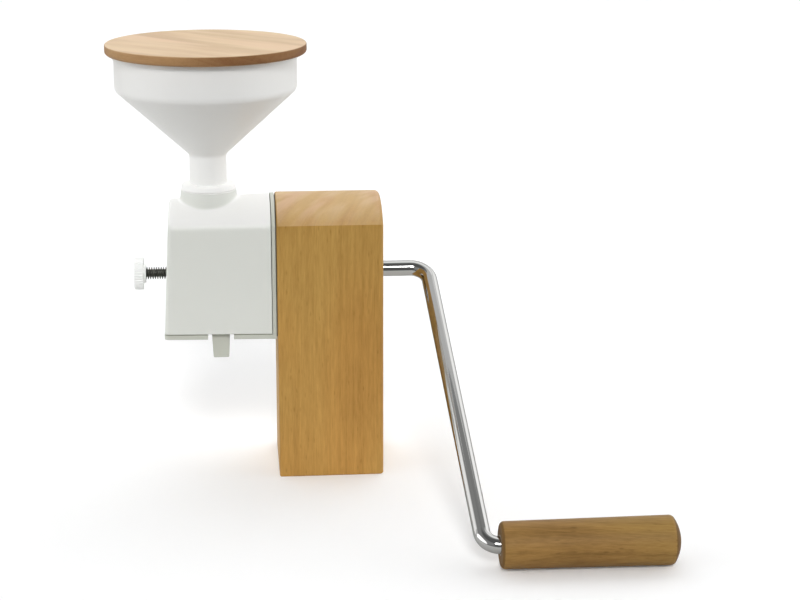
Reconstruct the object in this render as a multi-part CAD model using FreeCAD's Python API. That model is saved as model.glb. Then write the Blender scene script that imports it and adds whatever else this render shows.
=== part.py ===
"""Hand cranked grain flaker: a roller unit with a hopper on one side of a wooden block,
and a bent crank rod through the block that turns the rollers.

Millimetres, +Z up. The origin is the centre of the block's foot. +X runs along the
crank axis towards the crank, and -Y is the front.
"""
import FreeCAD, Part
import math
import os

from FreeCAD import Vector

X_AXIS = Vector(1, 0, 0)
Y_AXIS = Vector(0, 1, 0)
Z_AXIS = Vector(0, 0, 1)

# Crank axis
AXIS_HEIGHT = 128.8

# Wooden block; its depth follows from the roller unit that it carries
BLOCK_WIDTH = 67.0
SHOULDER_ABOVE_AXIS = 36.8
BLOCK_RISE = 14.1
BLOCK_EDGE_ROUND = 3.2
BLOCK_LEFT_ROUND = 1.4
FOOT_CHAMFER = 0.6
CLAMP_HOLE_RADIUS = 6.15
CLAMP_HOLE_DEPTH = 45.0
CLAMP_HOLE_HEIGHT = 24.0

# Crank rod
ROD_RADIUS = 5.0
CRANK_RADIUS = 223.3
ARM_STAND_OFF = 30.7
ARM_SPLAY = 13.9
SHAFT_BEND = 12.0
GRIP_BEND = 10.0
ROD_END_CHAMFER = 0.8
GROOVE_DEPTH = 0.6
GROOVE_PLAY = 0.1
ROD_TAIL = 2.6

# Bushes and fittings of the rod in the block
RUNNING_CLEARANCE = 0.06
BUSH_RADIUS = 7.0
BUSH_SPACING = 3.0
FLANGE_RADIUS = 10.0
FLANGE_THICKNESS = 2.5
COUNTERBORE_DEPTH = 6.0
COUNTERBORE_CLEARANCE = 1.5
RING_THICKNESS = 1.2
RING_RADIUS = 8.0
RING_PLAY = 0.3
RING_GAP_HALF_ANGLE = 25.0
WASHER_RADIUS = 9.0
WASHER_THICKNESS = 1.0
WASHER_PLAY = 0.1
RECESS_RADIUS = 16.0
RECESS_DEPTH = 22.0

# Coupling sleeve between rod and drive roller
COUPLING_RADIUS = 9.0
COUPLING_SETBACK = 1.1
COUPLING_ROD_GRIP = 9.2
COUPLING_CHAMFER = 0.8
COUPLING_CLEARANCE = 0.6
PIN_RADIUS = 1.5
HEX_ACROSS_FLATS = 7.0
HEX_CLEARANCE = 0.08
HEX_END_GAP = 0.4

# Wooden grip
GRIP_STAND_OFF = 9.1
GRIP_LENGTH = 104.2
GRIP_RADIUS = 14.4
GRIP_TAPER = 0.8
GRIP_DOME = 4.8
GRIP_DOME_ROUND = 3.0
GRIP_EDGE_ROUND = 2.5
GRIP_END_WOOD = 14.2
BORE_END_ROOM = 3.1
SLEEVE_WALL = 1.0
CLIP_THICKNESS = 1.0
CLIP_CLEARANCE = 0.4

# Conical rollers
ROLLER_LENGTH = 34.0
ROLLER_TAPER = 2.0 / 15.0
DRIVE_SMALL_RADIUS = 10.0
IDLER_LARGE_RADIUS = 12.0
ROLLER_GAP = 0.6
UPPER_IDLER_ANGLE = 50.0
LOWER_IDLER_ANGLE = -60.0
DRIVE_FLUTES = 26
IDLER_FLUTES = 22
FLUTE_DEPTH = 0.4
FLUTE_SHARE = 0.34
JOURNAL_RADIUS = 5.0
JOURNAL_STAND_OFF = 0.4
ROLLER_SHOULDER_RADIUS = 7.0
ROLLER_SHOULDER_LENGTH = 1.5
RIGHT_SHOULDER_GAP = 1.25
LEFT_SHOULDER_GAP = 0.75
ROLLER_BUSH_RADIUS = 7.0
AXLE_RADIUS = 3.0
AXLE_END_RADIUS = 2.0
AXLE_COLLAR = 1.0
AXLE_END_STAND = 0.8
IDLER_BUSH_RADIUS = 4.5
IDLER_BUSH_LENGTH = 8.0
IDLER_END_PLAY = 0.5
NUT_ACROSS_FLATS = 7.0
NUT_THICKNESS = 3.2

# Roller frame, moulded with its back plate, tray and side walls
PLATE_THICKNESS = 3.0
MOULD_WALL = 2.5
FRAME_REVEAL = 0.3
PLATE_GROOVE_WIDTH = 0.7
PLATE_GROOVE_DEPTH = 1.4
ROLLER_FOOT_GAP = 2.03
TRAY_THICKNESS = 2.7
TRAY_CORNER = 3.0
TRAY_REVEAL = 0.2
SIDE_WALL_GAP = 1.6
SIDE_WALL_THICKNESS = 2.0
SIDE_WALL_HEIGHT = 16.8
OUTLET_SETBACK = 4.5
SEAT_RIB_INSET = 1.2
SEAT_RIB_WIDTH = 1.2
SEAT_RIB_HEIGHT = 0.7
HUB_RADIUS = 12.0
HUB_LENGTH = 8.0
HUB_GUSSET_THICKNESS = 2.0
AXLE_BOSS_RADIUS = 6.5
AXLE_BOSS_LENGTH = 9.0
FRAME_SCREW_WALL_GAP = 1.3
FRAME_SCREW_RISE = 5.8
FRAME_SCREW_DROP = 17.0
SCREW_RADIUS = 2.0
SCREW_LENGTH = 22.0
SCREW_HEAD_RADIUS = 3.9
SCREW_HEAD_HEIGHT = 2.2
SCREW_SLOT_WIDTH = 0.9
SCREW_SLOT_DEPTH = 0.8

# Bearing plate at the screw end
BEARING_PLATE_THICKNESS = 4.0
BEARING_PLATE_DROP = 13.0
BEARING_PLATE_CORNER = 9.0
BEARING_HUB_LENGTH = 2.0
PLATE_SCREW_SPACING = 36.0
PLATE_SCREW_RADIUS = 1.5
PLATE_SCREW_LENGTH = 10.0
PLATE_SCREW_HEAD_RADIUS = 2.8
PLATE_SCREW_HEAD_HEIGHT = 1.7

# Feed guides
GUIDE_THICKNESS = 1.6
GUIDE_TENON = 1.0
GUIDE_ROLLER_GAP = 0.5
GUIDE_WALL_GAP = 0.8
GUIDE_CHUTE_GAP = 0.6
REAR_GUIDE_LEAN = 0.5
REAR_GUIDE_CLEARANCE = 1.5
FRONT_GUIDE_SET = 6.5
FRONT_GUIDE_SLOPE_HEIGHT = 11.4
FRONT_GUIDE_FOOT_GAP = 1.5

# Hood, a drafted shell that narrows towards the screw
HOOD_GAP = 0.45
HOOD_WALL_INSET = 5.3
HOOD_SIDE_STEP = 1.5
HOOD_CREST_STEP = 0.7
HOOD_ARCH_RADIUS = 43.3
SIDE_DRAFT = 2.1
CREST_DRAFT = 2.4
END_WALL_GAP = 10.5
END_WALL_LEAN = 3.0
HOOD_END_ROUND = 3.0
HOOD_SHOULDER_ROUND = 7.5
BARB_POCKET_DEPTH = 1.2

# Socket on the hood and hopper funnel
SOCKET_END_MARGIN = 10.9
SOCKET_RISE = 4.6
SOCKET_RADIUS = 17.5
SOCKET_FLARE = 0.9
SOCKET_FOOT_ROUND = 2.4
SOCKET_TOP_ROUND = 0.6
SPIGOT_RADIUS = 13.0
SPIGOT_LENGTH = 11.1
SPIGOT_CLEARANCE = 0.1
SPIGOT_END_PLAY = 0.5
CHUTE_WALL = 2.2
CHUTE_ROLLER_GAP = 3.9
COLLAR_RADIUS = 17.4
COLLAR_TOP_RADIUS = 16.2
COLLAR_HEIGHT = 3.9
COLLAR_FOOT_ROUND = 0.5
COLLAR_ROUND = 1.6
NECK_RADIUS = 11.7
NECK_LENGTH = 18.4
CONE_HEIGHT = 41.6
BOWL_RADIUS = 56.9
BOWL_HEIGHT = 22.3
RIM_BEAD = 0.9
RIM_BEAD_HEIGHT = 2.5
RIM_BEAD_ROUND = 0.45
FUNNEL_WALL = 1.9
BOWL_ROUND = 5.7
NECK_ROUND = 3.0

# Lid
LID_OVERHANG = 4.8
LID_THICKNESS = 6.1
LID_TOP_ROUND = 0.9
LID_FOOT_ROUND = 2.0
LID_PLUG_HEIGHT = 4.0
LID_PLUG_CLEARANCE = 0.8
LID_PLUG_ROUND = 1.0
LID_SHIFT = 0.4

# Adjusting screw, knob, insert and thrust ball
THREAD_RADIUS = 4.0
THREAD_CLEARANCE = 0.06
THREAD_PITCH = 1.5
ADJUST_TURNS = 1.5
SCREW_VISIBLE_LENGTH = 13.4
KNOB_RADIUS = 10.4
KNOB_THICKNESS = 5.9
KNOB_RIBS = 36
KNOB_RIB_DEPTH = 0.45
KNOB_EDGE = 1.2
KNOB_HUB_RADIUS = 6.1
KNOB_HUB_LENGTH = 1.6
KNOB_CAP = 1.8
BALL_RADIUS = 3.0
BALL_POCKET_DEPTH = 4.0
BALL_POCKET_CLEARANCE = 0.1
BALL_END_PLAY = 0.03
INSERT_RADIUS = 7.0
INSERT_ACROSS_FLATS = 16.0
INSERT_FLANGE_THICKNESS = 1.5
INSERT_BOSS_RADIUS = 11.0
INSERT_STAND_OFF = 0.6
INSERT_END_GAP = 0.4

# Release tabs
TAB_SETBACK = 35.2
TAB_WIDTH = 11.4
TAB_END_WIDTH = 9.9
TAB_DROP = 13.0
TAB_PIVOT_RISE = 10.8
TAB_CORNER = 0.9
TAB_SIDE_GAP = 2.4
TAB_ROOT_GAP = 0.3
BARB_RISE = 3.1
BARB_DEPTH = 3.0
BARB_LAP = 0.7
BARB_POCKET_PLAY = 0.5

# Places along X, from the block outwards to both sides
BLOCK_RIGHT = BLOCK_WIDTH / 2
BLOCK_LEFT = -BLOCK_WIDTH / 2
PLATE_LEFT = BLOCK_LEFT - PLATE_THICKNESS
HOOD_RIGHT = PLATE_LEFT - HOOD_GAP
HUB_LEFT = PLATE_LEFT - HUB_LENGTH
OUTLET_RIGHT = PLATE_LEFT - OUTLET_SETBACK
ADJUST_TRAVEL = ADJUST_TURNS * THREAD_PITCH
ROLLER_RIGHT = HUB_LEFT - ADJUST_TRAVEL - RIGHT_SHOULDER_GAP - ROLLER_SHOULDER_LENGTH
ROLLER_LEFT = ROLLER_RIGHT - ROLLER_LENGTH
BEARING_HUB_RIGHT = ROLLER_LEFT - ROLLER_SHOULDER_LENGTH - LEFT_SHOULDER_GAP - ADJUST_TRAVEL
BEARING_PLATE_RIGHT = BEARING_HUB_RIGHT - BEARING_HUB_LENGTH
BEARING_PLATE_LEFT = BEARING_PLATE_RIGHT - BEARING_PLATE_THICKNESS
END_WALL_X = BEARING_PLATE_LEFT - END_WALL_GAP
FUNNEL_X = END_WALL_X + SOCKET_END_MARGIN + SOCKET_FLARE + SOCKET_RADIUS
TAB_CENTRE = END_WALL_X + TAB_SETBACK
FLANGE_LEFT = BLOCK_RIGHT - COUNTERBORE_DEPTH
RING_LEFT = FLANGE_LEFT + FLANGE_THICKNESS + RING_PLAY
RECESS_RIGHT = BLOCK_LEFT + RECESS_DEPTH
BUSH_LENGTH = (FLANGE_LEFT - RECESS_RIGHT - BUSH_SPACING) / 2
WASHER_RIGHT = RECESS_RIGHT - FLANGE_THICKNESS - WASHER_PLAY
COUPLING_RIGHT = WASHER_RIGHT - WASHER_THICKNESS - WASHER_PLAY
COUPLING_LEFT = PLATE_LEFT + COUPLING_SETBACK
ROD_LEFT = COUPLING_RIGHT - COUPLING_ROD_GRIP
JOURNAL_RIGHT = COUPLING_LEFT - ADJUST_TRAVEL - JOURNAL_STAND_OFF
HEX_TAIL_RIGHT = ROD_LEFT - ADJUST_TRAVEL - HEX_END_GAP
ROLLER_END = BEARING_PLATE_LEFT
BALL_CENTRE = ROLLER_END + BALL_POCKET_DEPTH - BALL_RADIUS - BALL_END_PLAY
SCREW_TIP = BALL_CENTRE - BALL_RADIUS - BALL_END_PLAY
INSERT_RIGHT = ROLLER_END - ADJUST_TRAVEL - INSERT_END_GAP
ARM_START = BLOCK_RIGHT + ARM_STAND_OFF
GRIP_START = ARM_START + ARM_SPLAY + GRIP_STAND_OFF
GRIP_BORE_END = GRIP_START + GRIP_LENGTH - GRIP_END_WOOD
ROD_RIGHT = GRIP_BORE_END - BORE_END_ROOM
CLIP_START = ROD_RIGHT - ROD_TAIL - CLIP_THICKNESS
SLEEVE_END = CLIP_START - RING_PLAY

# Radii and angles that follow from the sizes above
DRIVE_LARGE_RADIUS = DRIVE_SMALL_RADIUS + ROLLER_LENGTH * ROLLER_TAPER
IDLER_SMALL_RADIUS = IDLER_LARGE_RADIUS - ROLLER_LENGTH * ROLLER_TAPER
IDLER_DISTANCE = DRIVE_SMALL_RADIUS + IDLER_LARGE_RADIUS + ROLLER_GAP
GRIP_BORE_RADIUS = ROD_RADIUS + RUNNING_CLEARANCE + SLEEVE_WALL
GROOVE_RADIUS = ROD_RADIUS - GROOVE_DEPTH
SOCKET_BORE = SPIGOT_RADIUS + SPIGOT_CLEARANCE
NECK_BORE = NECK_RADIUS - FUNNEL_WALL
LID_RADIUS = BOWL_RADIUS + RIM_BEAD + LID_OVERHANG
REST_ANGLE = math.degrees(math.acos((AXIS_HEIGHT - GRIP_RADIUS) / CRANK_RADIUS))


def idler_centre(angle):
    """Axis of an idler, set off from the crank axis at an angle above the rear."""
    turn = math.radians(angle)
    y = IDLER_DISTANCE * math.cos(turn)
    z = AXIS_HEIGHT + IDLER_DISTANCE * math.sin(turn)
    return y, z


UPPER_IDLER_Y, UPPER_IDLER_Z = idler_centre(UPPER_IDLER_ANGLE)
LOWER_IDLER_Y, LOWER_IDLER_Z = idler_centre(LOWER_IDLER_ANGLE)

# Places along Y, from the rollers outwards
REAR_GUIDE_Y = LOWER_IDLER_Y + IDLER_LARGE_RADIUS + GUIDE_ROLLER_GAP + GUIDE_THICKNESS / 2
SIDE_WALL_HALF_WIDTH = REAR_GUIDE_Y + SIDE_WALL_GAP
HOOD_HALF_WIDTH = SIDE_WALL_HALF_WIDTH + HOOD_WALL_INSET
BLOCK_DEPTH = 2 * (HOOD_HALF_WIDTH + HOOD_SIDE_STEP)
FRAME_SCREW_Y = SIDE_WALL_HALF_WIDTH - SIDE_WALL_THICKNESS - FRAME_SCREW_WALL_GAP - SCREW_HEAD_RADIUS

# Heights, from the rollers downwards and upwards
TRAY_TOP = LOWER_IDLER_Z - IDLER_LARGE_RADIUS - ROLLER_FOOT_GAP
TRAY_FOOT = TRAY_TOP - TRAY_THICKNESS
HOOD_FOOT = TRAY_TOP + SEAT_RIB_HEIGHT
SIDE_WALL_TOP = TRAY_TOP + SIDE_WALL_HEIGHT
TAB_FOOT = TRAY_FOOT - TAB_DROP
TAB_PIVOT_HEIGHT = TRAY_TOP + TAB_PIVOT_RISE
BARB_HEIGHT = HOOD_FOOT + BARB_RISE
BLOCK_SHOULDER = AXIS_HEIGHT + SHOULDER_ABOVE_AXIS
BLOCK_CREST = BLOCK_SHOULDER + BLOCK_RISE
HOOD_CREST = BLOCK_CREST - HOOD_CREST_STEP
BEARING_PLATE_TOP = HOOD_CREST - BEARING_PLATE_DROP
CHUTE_FOOT = UPPER_IDLER_Z + IDLER_LARGE_RADIUS + CHUTE_ROLLER_GAP
SOCKET_TOP = HOOD_CREST + SOCKET_RISE
COLLAR_TOP = SOCKET_TOP + COLLAR_HEIGHT
NECK_TOP = COLLAR_TOP + NECK_LENGTH
BOWL_FOOT = NECK_TOP + CONE_HEIGHT
RIM_TOP = BOWL_FOOT + BOWL_HEIGHT


def half_width(x, inset=0.0):
    """Half of the hood's width at a place along the crank axis."""
    return HOOD_HALF_WIDTH - inset - (PLATE_LEFT - x) * math.tan(math.radians(SIDE_DRAFT))


def crest(x, inset=0.0):
    """Height of the hood's crest line at a place along the crank axis."""
    return HOOD_CREST - inset - (PLATE_LEFT - x) * math.tan(math.radians(CREST_DRAFT))


def end_wall(z):
    """Where the hood's leaning end wall stands at a height."""
    return END_WALL_X + (z - HOOD_FOOT) * math.tan(math.radians(END_WALL_LEAN))


def rod_x(radius, x0, x1, y=0.0, z=AXIS_HEIGHT):
    """Round bar along X from x0 to x1."""
    return Part.makeCylinder(radius, x1 - x0, Vector(x0, y, z), X_AXIS)


def rod_z(radius, z0, z1, x, y):
    """Round bar along Z from z0 to z1."""
    return Part.makeCylinder(radius, z1 - z0, Vector(x, y, z0), Z_AXIS)


def cone_x(radius0, radius1, x0, x1, y=0.0, z=AXIS_HEIGHT):
    """Round taper along X, radius0 at x0 and radius1 at x1."""
    return Part.makeCone(radius0, radius1, x1 - x0, Vector(x0, y, z), X_AXIS)


def box(x0, x1, y0, y1, z0, z1):
    """Block between two corners."""
    return Part.makeBox(x1 - x0, y1 - y0, z1 - z0, Vector(x0, y0, z0))


def extrude_x(points, x0, x1):
    """Closed outline of (y, z) points, drawn along X from x0 to x1."""
    corners = [Vector(x0, y, z) for y, z in points]
    face = Part.Face(Part.makePolygon(corners + corners[:1]))
    return face.extrude(Vector(x1 - x0, 0, 0))


def hexagon_x(across_flats, x0, x1, y=0.0, z=AXIS_HEIGHT):
    """Six-sided bar along X."""
    corner = across_flats / math.sqrt(3)
    points = []
    for side in range(6):
        turn = math.radians(60 * side)
        points.append((y + corner * math.cos(turn), z + corner * math.sin(turn)))
    return extrude_x(points, x0, x1)


def arched_outline(x, half, foot, shoulder, top):
    """Upright outline across X: straight sides under one arc."""
    foot_left = Vector(x, -half, foot)
    foot_right = Vector(x, half, foot)
    left = Vector(x, -half, shoulder)
    right = Vector(x, half, shoulder)
    edges = [
        Part.makeLine(foot_right, foot_left),
        Part.makeLine(foot_left, left),
        Part.Arc(left, Vector(x, 0, top), right).toShape(),
        Part.makeLine(right, foot_right),
    ]
    return Part.Wire(edges)


def edges_where(shape, test):
    """Edges of a shape whose centre and length pass a test."""
    return [edge for edge in shape.Edges if test(edge.CenterOfMass, edge)]


def near(a, b, slack=0.01):
    """True where two sizes agree."""
    return abs(a - b) < slack


def wooden_block():
    """Post with an arched top: slightly rounded at the roller unit, more at the crank."""
    profile = arched_outline(BLOCK_LEFT, BLOCK_DEPTH / 2, 0, BLOCK_SHOULDER, BLOCK_CREST)
    body = Part.Face(profile).extrude(Vector(BLOCK_WIDTH, 0, 0))

    def crank_side(centre, edge):
        return near(centre.x, BLOCK_RIGHT) and centre.z > FOOT_CHAMFER

    def roller_side(centre, edge):
        return near(centre.x, BLOCK_LEFT) and centre.z > FOOT_CHAMFER

    def foot(centre, edge):
        return near(centre.z, 0)

    body = body.makeFillet(BLOCK_EDGE_ROUND, edges_where(body, crank_side))
    body = body.makeFillet(BLOCK_LEFT_ROUND, edges_where(body, roller_side))
    body = body.makeChamfer(FOOT_CHAMFER, edges_where(body, foot))
    body = body.cut(rod_x(BUSH_RADIUS, BLOCK_LEFT, BLOCK_RIGHT))
    body = body.cut(rod_x(RECESS_RADIUS, BLOCK_LEFT, RECESS_RIGHT))
    counterbore = FLANGE_RADIUS + COUNTERBORE_CLEARANCE
    body = body.cut(rod_x(counterbore, FLANGE_LEFT, BLOCK_RIGHT))
    clamp_end = BLOCK_RIGHT - CLAMP_HOLE_DEPTH
    body = body.cut(rod_x(CLAMP_HOLE_RADIUS, clamp_end, BLOCK_RIGHT, 0, CLAMP_HOLE_HEIGHT))
    for y, z in frame_screw_places():
        body = body.cut(rod_x(SCREW_RADIUS, BLOCK_LEFT, PLATE_LEFT + SCREW_LENGTH, y, z))
    return body


def flanged_bush(flange_left, body_left):
    """Bush for the rod: a flange at one end of a plain body."""
    body = rod_x(BUSH_RADIUS, body_left, body_left + BUSH_LENGTH)
    body = body.fuse(rod_x(FLANGE_RADIUS, flange_left, flange_left + FLANGE_THICKNESS))
    bore = rod_x(ROD_RADIUS + RUNNING_CLEARANCE, body_left - BUSH_LENGTH, body_left + 2 * BUSH_LENGTH)
    return body.cut(bore).removeSplitter()


def shaft_bush_right():
    """Bush at the crank side, its flange in the counterbore."""
    return flanged_bush(FLANGE_LEFT, FLANGE_LEFT - BUSH_LENGTH)


def shaft_bush_left():
    """Bush at the roller side, its flange on the floor of the recess."""
    return flanged_bush(RECESS_RIGHT - FLANGE_THICKNESS, RECESS_RIGHT)


def open_ring(inner, outer, x0, x1):
    """Retaining ring in a groove, open over a small angle at the foot."""
    ring = rod_x(outer, x0, x1).cut(rod_x(inner, x0, x1))
    reach = 2 * outer
    side = reach * math.tan(math.radians(RING_GAP_HALF_ANGLE))
    wedge = [(0, AXIS_HEIGHT), (-side, AXIS_HEIGHT - reach), (side, AXIS_HEIGHT - reach)]
    return ring.cut(extrude_x(wedge, x0, x1))


def retaining_ring():
    """Ring on the rod, outside the right bush."""
    return open_ring(GROOVE_RADIUS, RING_RADIUS, RING_LEFT, RING_LEFT + RING_THICKNESS)


def thrust_washer():
    """Washer between the left bush and the coupling."""
    x0 = WASHER_RIGHT - WASHER_THICKNESS
    ring = rod_x(WASHER_RADIUS, x0, WASHER_RIGHT)
    return ring.cut(rod_x(ROD_RADIUS + RUNNING_CLEARANCE, x0, WASHER_RIGHT))


def drive_coupling():
    """Sleeve pinned on the rod, with a hexagon socket for the roller's tail."""
    body = rod_x(COUPLING_RADIUS, COUPLING_LEFT, COUPLING_RIGHT)
    ends = edges_where(body, lambda centre, edge: isinstance(edge.Curve, Part.Circle))
    body = body.makeChamfer(COUPLING_CHAMFER, ends)
    body = body.cut(rod_x(ROD_RADIUS, ROD_LEFT, COUPLING_RIGHT))
    socket = hexagon_x(HEX_ACROSS_FLATS + 2 * HEX_CLEARANCE, COUPLING_LEFT, ROD_LEFT)
    body = body.cut(socket)
    return body.cut(coupling_pin())


def coupling_pin():
    """Cross pin through the sleeve and the rod."""
    x = ROD_LEFT + COUPLING_ROD_GRIP / 2
    length = 2 * COUPLING_RADIUS - COUPLING_CHAMFER
    return rod_z(PIN_RADIUS, AXIS_HEIGHT - length / 2, AXIS_HEIGHT + length / 2, x, 0)


def crank_path():
    """Centre line of the rod, drawn in the plane of the crank hanging straight down."""
    arm_end_x = ARM_START + ARM_SPLAY
    start = Vector(ROD_LEFT, 0, AXIS_HEIGHT)
    first = Vector(ARM_START, 0, AXIS_HEIGHT)
    second = Vector(arm_end_x, 0, AXIS_HEIGHT - CRANK_RADIUS)
    end = Vector(ROD_RIGHT, 0, AXIS_HEIGHT - CRANK_RADIUS)
    corners = [start, first, second, end]
    bends = [SHAFT_BEND, GRIP_BEND]
    edges = []
    here = start
    for index, radius in enumerate(bends):
        before, corner, after = corners[index:index + 3]
        inward = (corner - before).normalize()
        outward = (after - corner).normalize()
        turn = inward.getAngle(outward)
        setback = radius * math.tan(turn / 2)
        arc_start = corner - inward * setback
        arc_end = corner + outward * setback
        toward_centre = (outward - inward).normalize()
        middle = corner + toward_centre * (radius / math.cos(turn / 2) - radius)
        edges.append(Part.LineSegment(here, arc_start).toShape())
        edges.append(Part.Arc(arc_start, middle, arc_end).toShape())
        here = arc_end
    edges.append(Part.LineSegment(here, end).toShape())
    return Part.Wire(edges)


def swing(shape):
    """Turns a piece from straight down to the rest pose, grip down on the floor in front."""
    turned = shape.copy()
    turned.rotate(Vector(0, 0, AXIS_HEIGHT), X_AXIS, -REST_ANGLE)
    return turned


def crank_rod():
    """One rod bent twice, with a groove for each ring and a cross hole for the pin."""
    path = crank_path()
    section = Part.Wire(Part.makeCircle(ROD_RADIUS, Vector(ROD_LEFT, 0, AXIS_HEIGHT), X_AXIS))
    rod = path.makePipeShell([section], True, False)
    rod = Part.Solid(rod) if rod.ShapeType == "Shell" else rod
    ends = edges_where(rod, lambda centre, edge: edge.Closed and is_rod_end(centre))
    rod = rod.makeChamfer(ROD_END_CHAMFER, ends)
    grip_z = AXIS_HEIGHT - CRANK_RADIUS
    groove = rod_x(2 * ROD_RADIUS, CLIP_START, CLIP_START + CLIP_THICKNESS + GROOVE_PLAY, 0, grip_z)
    groove = groove.cut(rod_x(GROOVE_RADIUS, CLIP_START, CLIP_START + 2 * CLIP_THICKNESS, 0, grip_z))
    rod = swing(rod.cut(groove))
    ring_right = RING_LEFT + RING_THICKNESS + GROOVE_PLAY
    groove = rod_x(2 * ROD_RADIUS, RING_LEFT, ring_right).cut(rod_x(GROOVE_RADIUS, RING_LEFT, ring_right))
    return rod.cut(groove).cut(coupling_pin())


def is_rod_end(centre):
    """True at either end of the rod's centre line."""
    return near(centre.x, ROD_LEFT) or near(centre.x, ROD_RIGHT)


def wooden_grip():
    """Turned grip with a blind bore: flat at the arm, a little thicker and domed at the free end."""
    z = AXIS_HEIGHT - CRANK_RADIUS
    body_end = GRIP_START + GRIP_LENGTH - GRIP_DOME
    body = cone_x(GRIP_RADIUS - GRIP_TAPER, GRIP_RADIUS, GRIP_START, body_end, 0, z)
    dome_radius = (GRIP_RADIUS ** 2 + GRIP_DOME ** 2) / (2 * GRIP_DOME)
    centre_x = body_end + GRIP_DOME - dome_radius
    ball = Part.makeSphere(dome_radius, Vector(centre_x, 0, z), X_AXIS)
    dome = ball.common(rod_x(2 * GRIP_RADIUS, body_end, body_end + 2 * GRIP_DOME, 0, z))
    body = body.fuse(dome).removeSplitter()
    for x, size in ((GRIP_START, GRIP_EDGE_ROUND), (body_end, GRIP_DOME_ROUND)):
        rim = edges_where(body, lambda centre, edge: edge.Closed and near(centre.x, x))
        body = body.makeFillet(size, rim)
    return swing(body.cut(rod_x(GRIP_BORE_RADIUS, GRIP_START, GRIP_BORE_END, 0, z)))


def grip_sleeve():
    """Liner pressed into the grip, turning on the rod."""
    z = AXIS_HEIGHT - CRANK_RADIUS
    tube = rod_x(GRIP_BORE_RADIUS, GRIP_START, SLEEVE_END, 0, z)
    return swing(tube.cut(rod_x(ROD_RADIUS + RUNNING_CLEARANCE, GRIP_START, SLEEVE_END, 0, z)))


def grip_clip():
    """Ring in the rod's outer groove, beyond the sleeve."""
    radius = GRIP_BORE_RADIUS - CLIP_CLEARANCE
    clip = open_ring(GROOVE_RADIUS, radius, CLIP_START, CLIP_START + CLIP_THICKNESS)
    clip.translate(Vector(0, 0, -CRANK_RADIUS))
    return swing(clip)


def frame_screw_places():
    """Centres of the four screws that hold the frame to the block."""
    places = []
    for y in (-FRAME_SCREW_Y, FRAME_SCREW_Y):
        places.append((y, TRAY_TOP + FRAME_SCREW_RISE))
        places.append((y, HOOD_CREST - FRAME_SCREW_DROP))
    return places


def plan_outline(inset, z):
    """Plan of the hood's foot at a height, drawn in by an inset."""
    left = END_WALL_X + inset
    right = PLATE_LEFT
    points = [
        Vector(right, -half_width(right, inset), z),
        Vector(right, half_width(right, inset), z),
        Vector(left, half_width(left, inset), z),
        Vector(left, -half_width(left, inset), z),
    ]
    return Part.Face(Part.makePolygon(points + points[:1]))


def roller_frame():
    """Back plate with a shadow groove along the block, hub, bosses, side walls and tray, in one."""
    frame = plate_layer(0, PLATE_LEFT, BLOCK_LEFT - PLATE_GROOVE_WIDTH)
    frame = frame.fuse(plate_layer(PLATE_GROOVE_DEPTH, PLATE_LEFT, BLOCK_LEFT))
    frame = frame.fuse(tray())
    for side in (-1, 1):
        frame = frame.fuse(side_wall(side))
    frame = frame.fuse(rod_x(HUB_RADIUS, HUB_LEFT, PLATE_LEFT))
    frame = frame.fuse(hub_gussets())
    boss_left = PLATE_LEFT - AXLE_BOSS_LENGTH
    for angle in (UPPER_IDLER_ANGLE, LOWER_IDLER_ANGLE):
        y, z = idler_centre(angle)
        frame = frame.fuse(rod_x(AXLE_BOSS_RADIUS, boss_left, PLATE_LEFT, y, z))
    frame = frame.removeSplitter()
    frame = frame.cut(rod_x(ROLLER_BUSH_RADIUS, HUB_LEFT, BLOCK_LEFT))
    frame = frame.cut(rod_x(COUPLING_RADIUS + COUPLING_CLEARANCE, PLATE_LEFT, BLOCK_LEFT))
    for angle in (UPPER_IDLER_ANGLE, LOWER_IDLER_ANGLE):
        y, z = idler_centre(angle)
        frame = frame.cut(rod_x(AXLE_END_RADIUS, boss_left, PLATE_LEFT, y, z))
    for y, z in frame_screw_places():
        frame = frame.cut(countersunk_screw(y, z, False))
    for y in plate_screw_places():
        frame = frame.cut(plate_screw(y, False))
    for side in (-1, 1):
        frame = frame.cut(tab_window(side))
    return frame.cut(front_feed_guide()).cut(rear_feed_guide())


def plate_layer(inset, x0, x1):
    """Slab of the back plate's arched outline, drawn in by an inset."""
    half = HOOD_HALF_WIDTH + FRAME_REVEAL - inset
    top = HOOD_CREST + FRAME_REVEAL - inset
    profile = arched_outline(x0, half, TRAY_FOOT + inset, top - arch_sagitta(half + inset), top)
    return Part.Face(profile).extrude(Vector(x1 - x0, 0, 0))


def arch_sagitta(half):
    """Rise of the hood's arch over a half width."""
    return HOOD_ARCH_RADIUS - math.sqrt(HOOD_ARCH_RADIUS ** 2 - half ** 2)


def tray():
    """Flange under the hood's rim, open in the middle, with a rib that the rim stands on."""
    body = plan_outline(-TRAY_REVEAL, TRAY_FOOT).extrude(Vector(0, 0, TRAY_THICKNESS))

    def free_corner(centre, edge):
        return near(centre.x, END_WALL_X - TRAY_REVEAL) and near(edge.Length, TRAY_THICKNESS)

    body = body.makeFillet(TRAY_CORNER, edges_where(body, free_corner))
    rise = Vector(0, 0, SEAT_RIB_HEIGHT)
    rib = plan_outline(SEAT_RIB_INSET, TRAY_TOP).extrude(rise)
    inner = plan_outline(SEAT_RIB_INSET + SEAT_RIB_WIDTH, TRAY_TOP).extrude(rise)
    body = body.fuse(rib.cut(inner))
    inside = SIDE_WALL_HALF_WIDTH - SIDE_WALL_THICKNESS
    outlet = box(BEARING_PLATE_RIGHT, OUTLET_RIGHT, -inside, inside, TRAY_FOOT, HOOD_FOOT)
    return body.cut(outlet)


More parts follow.
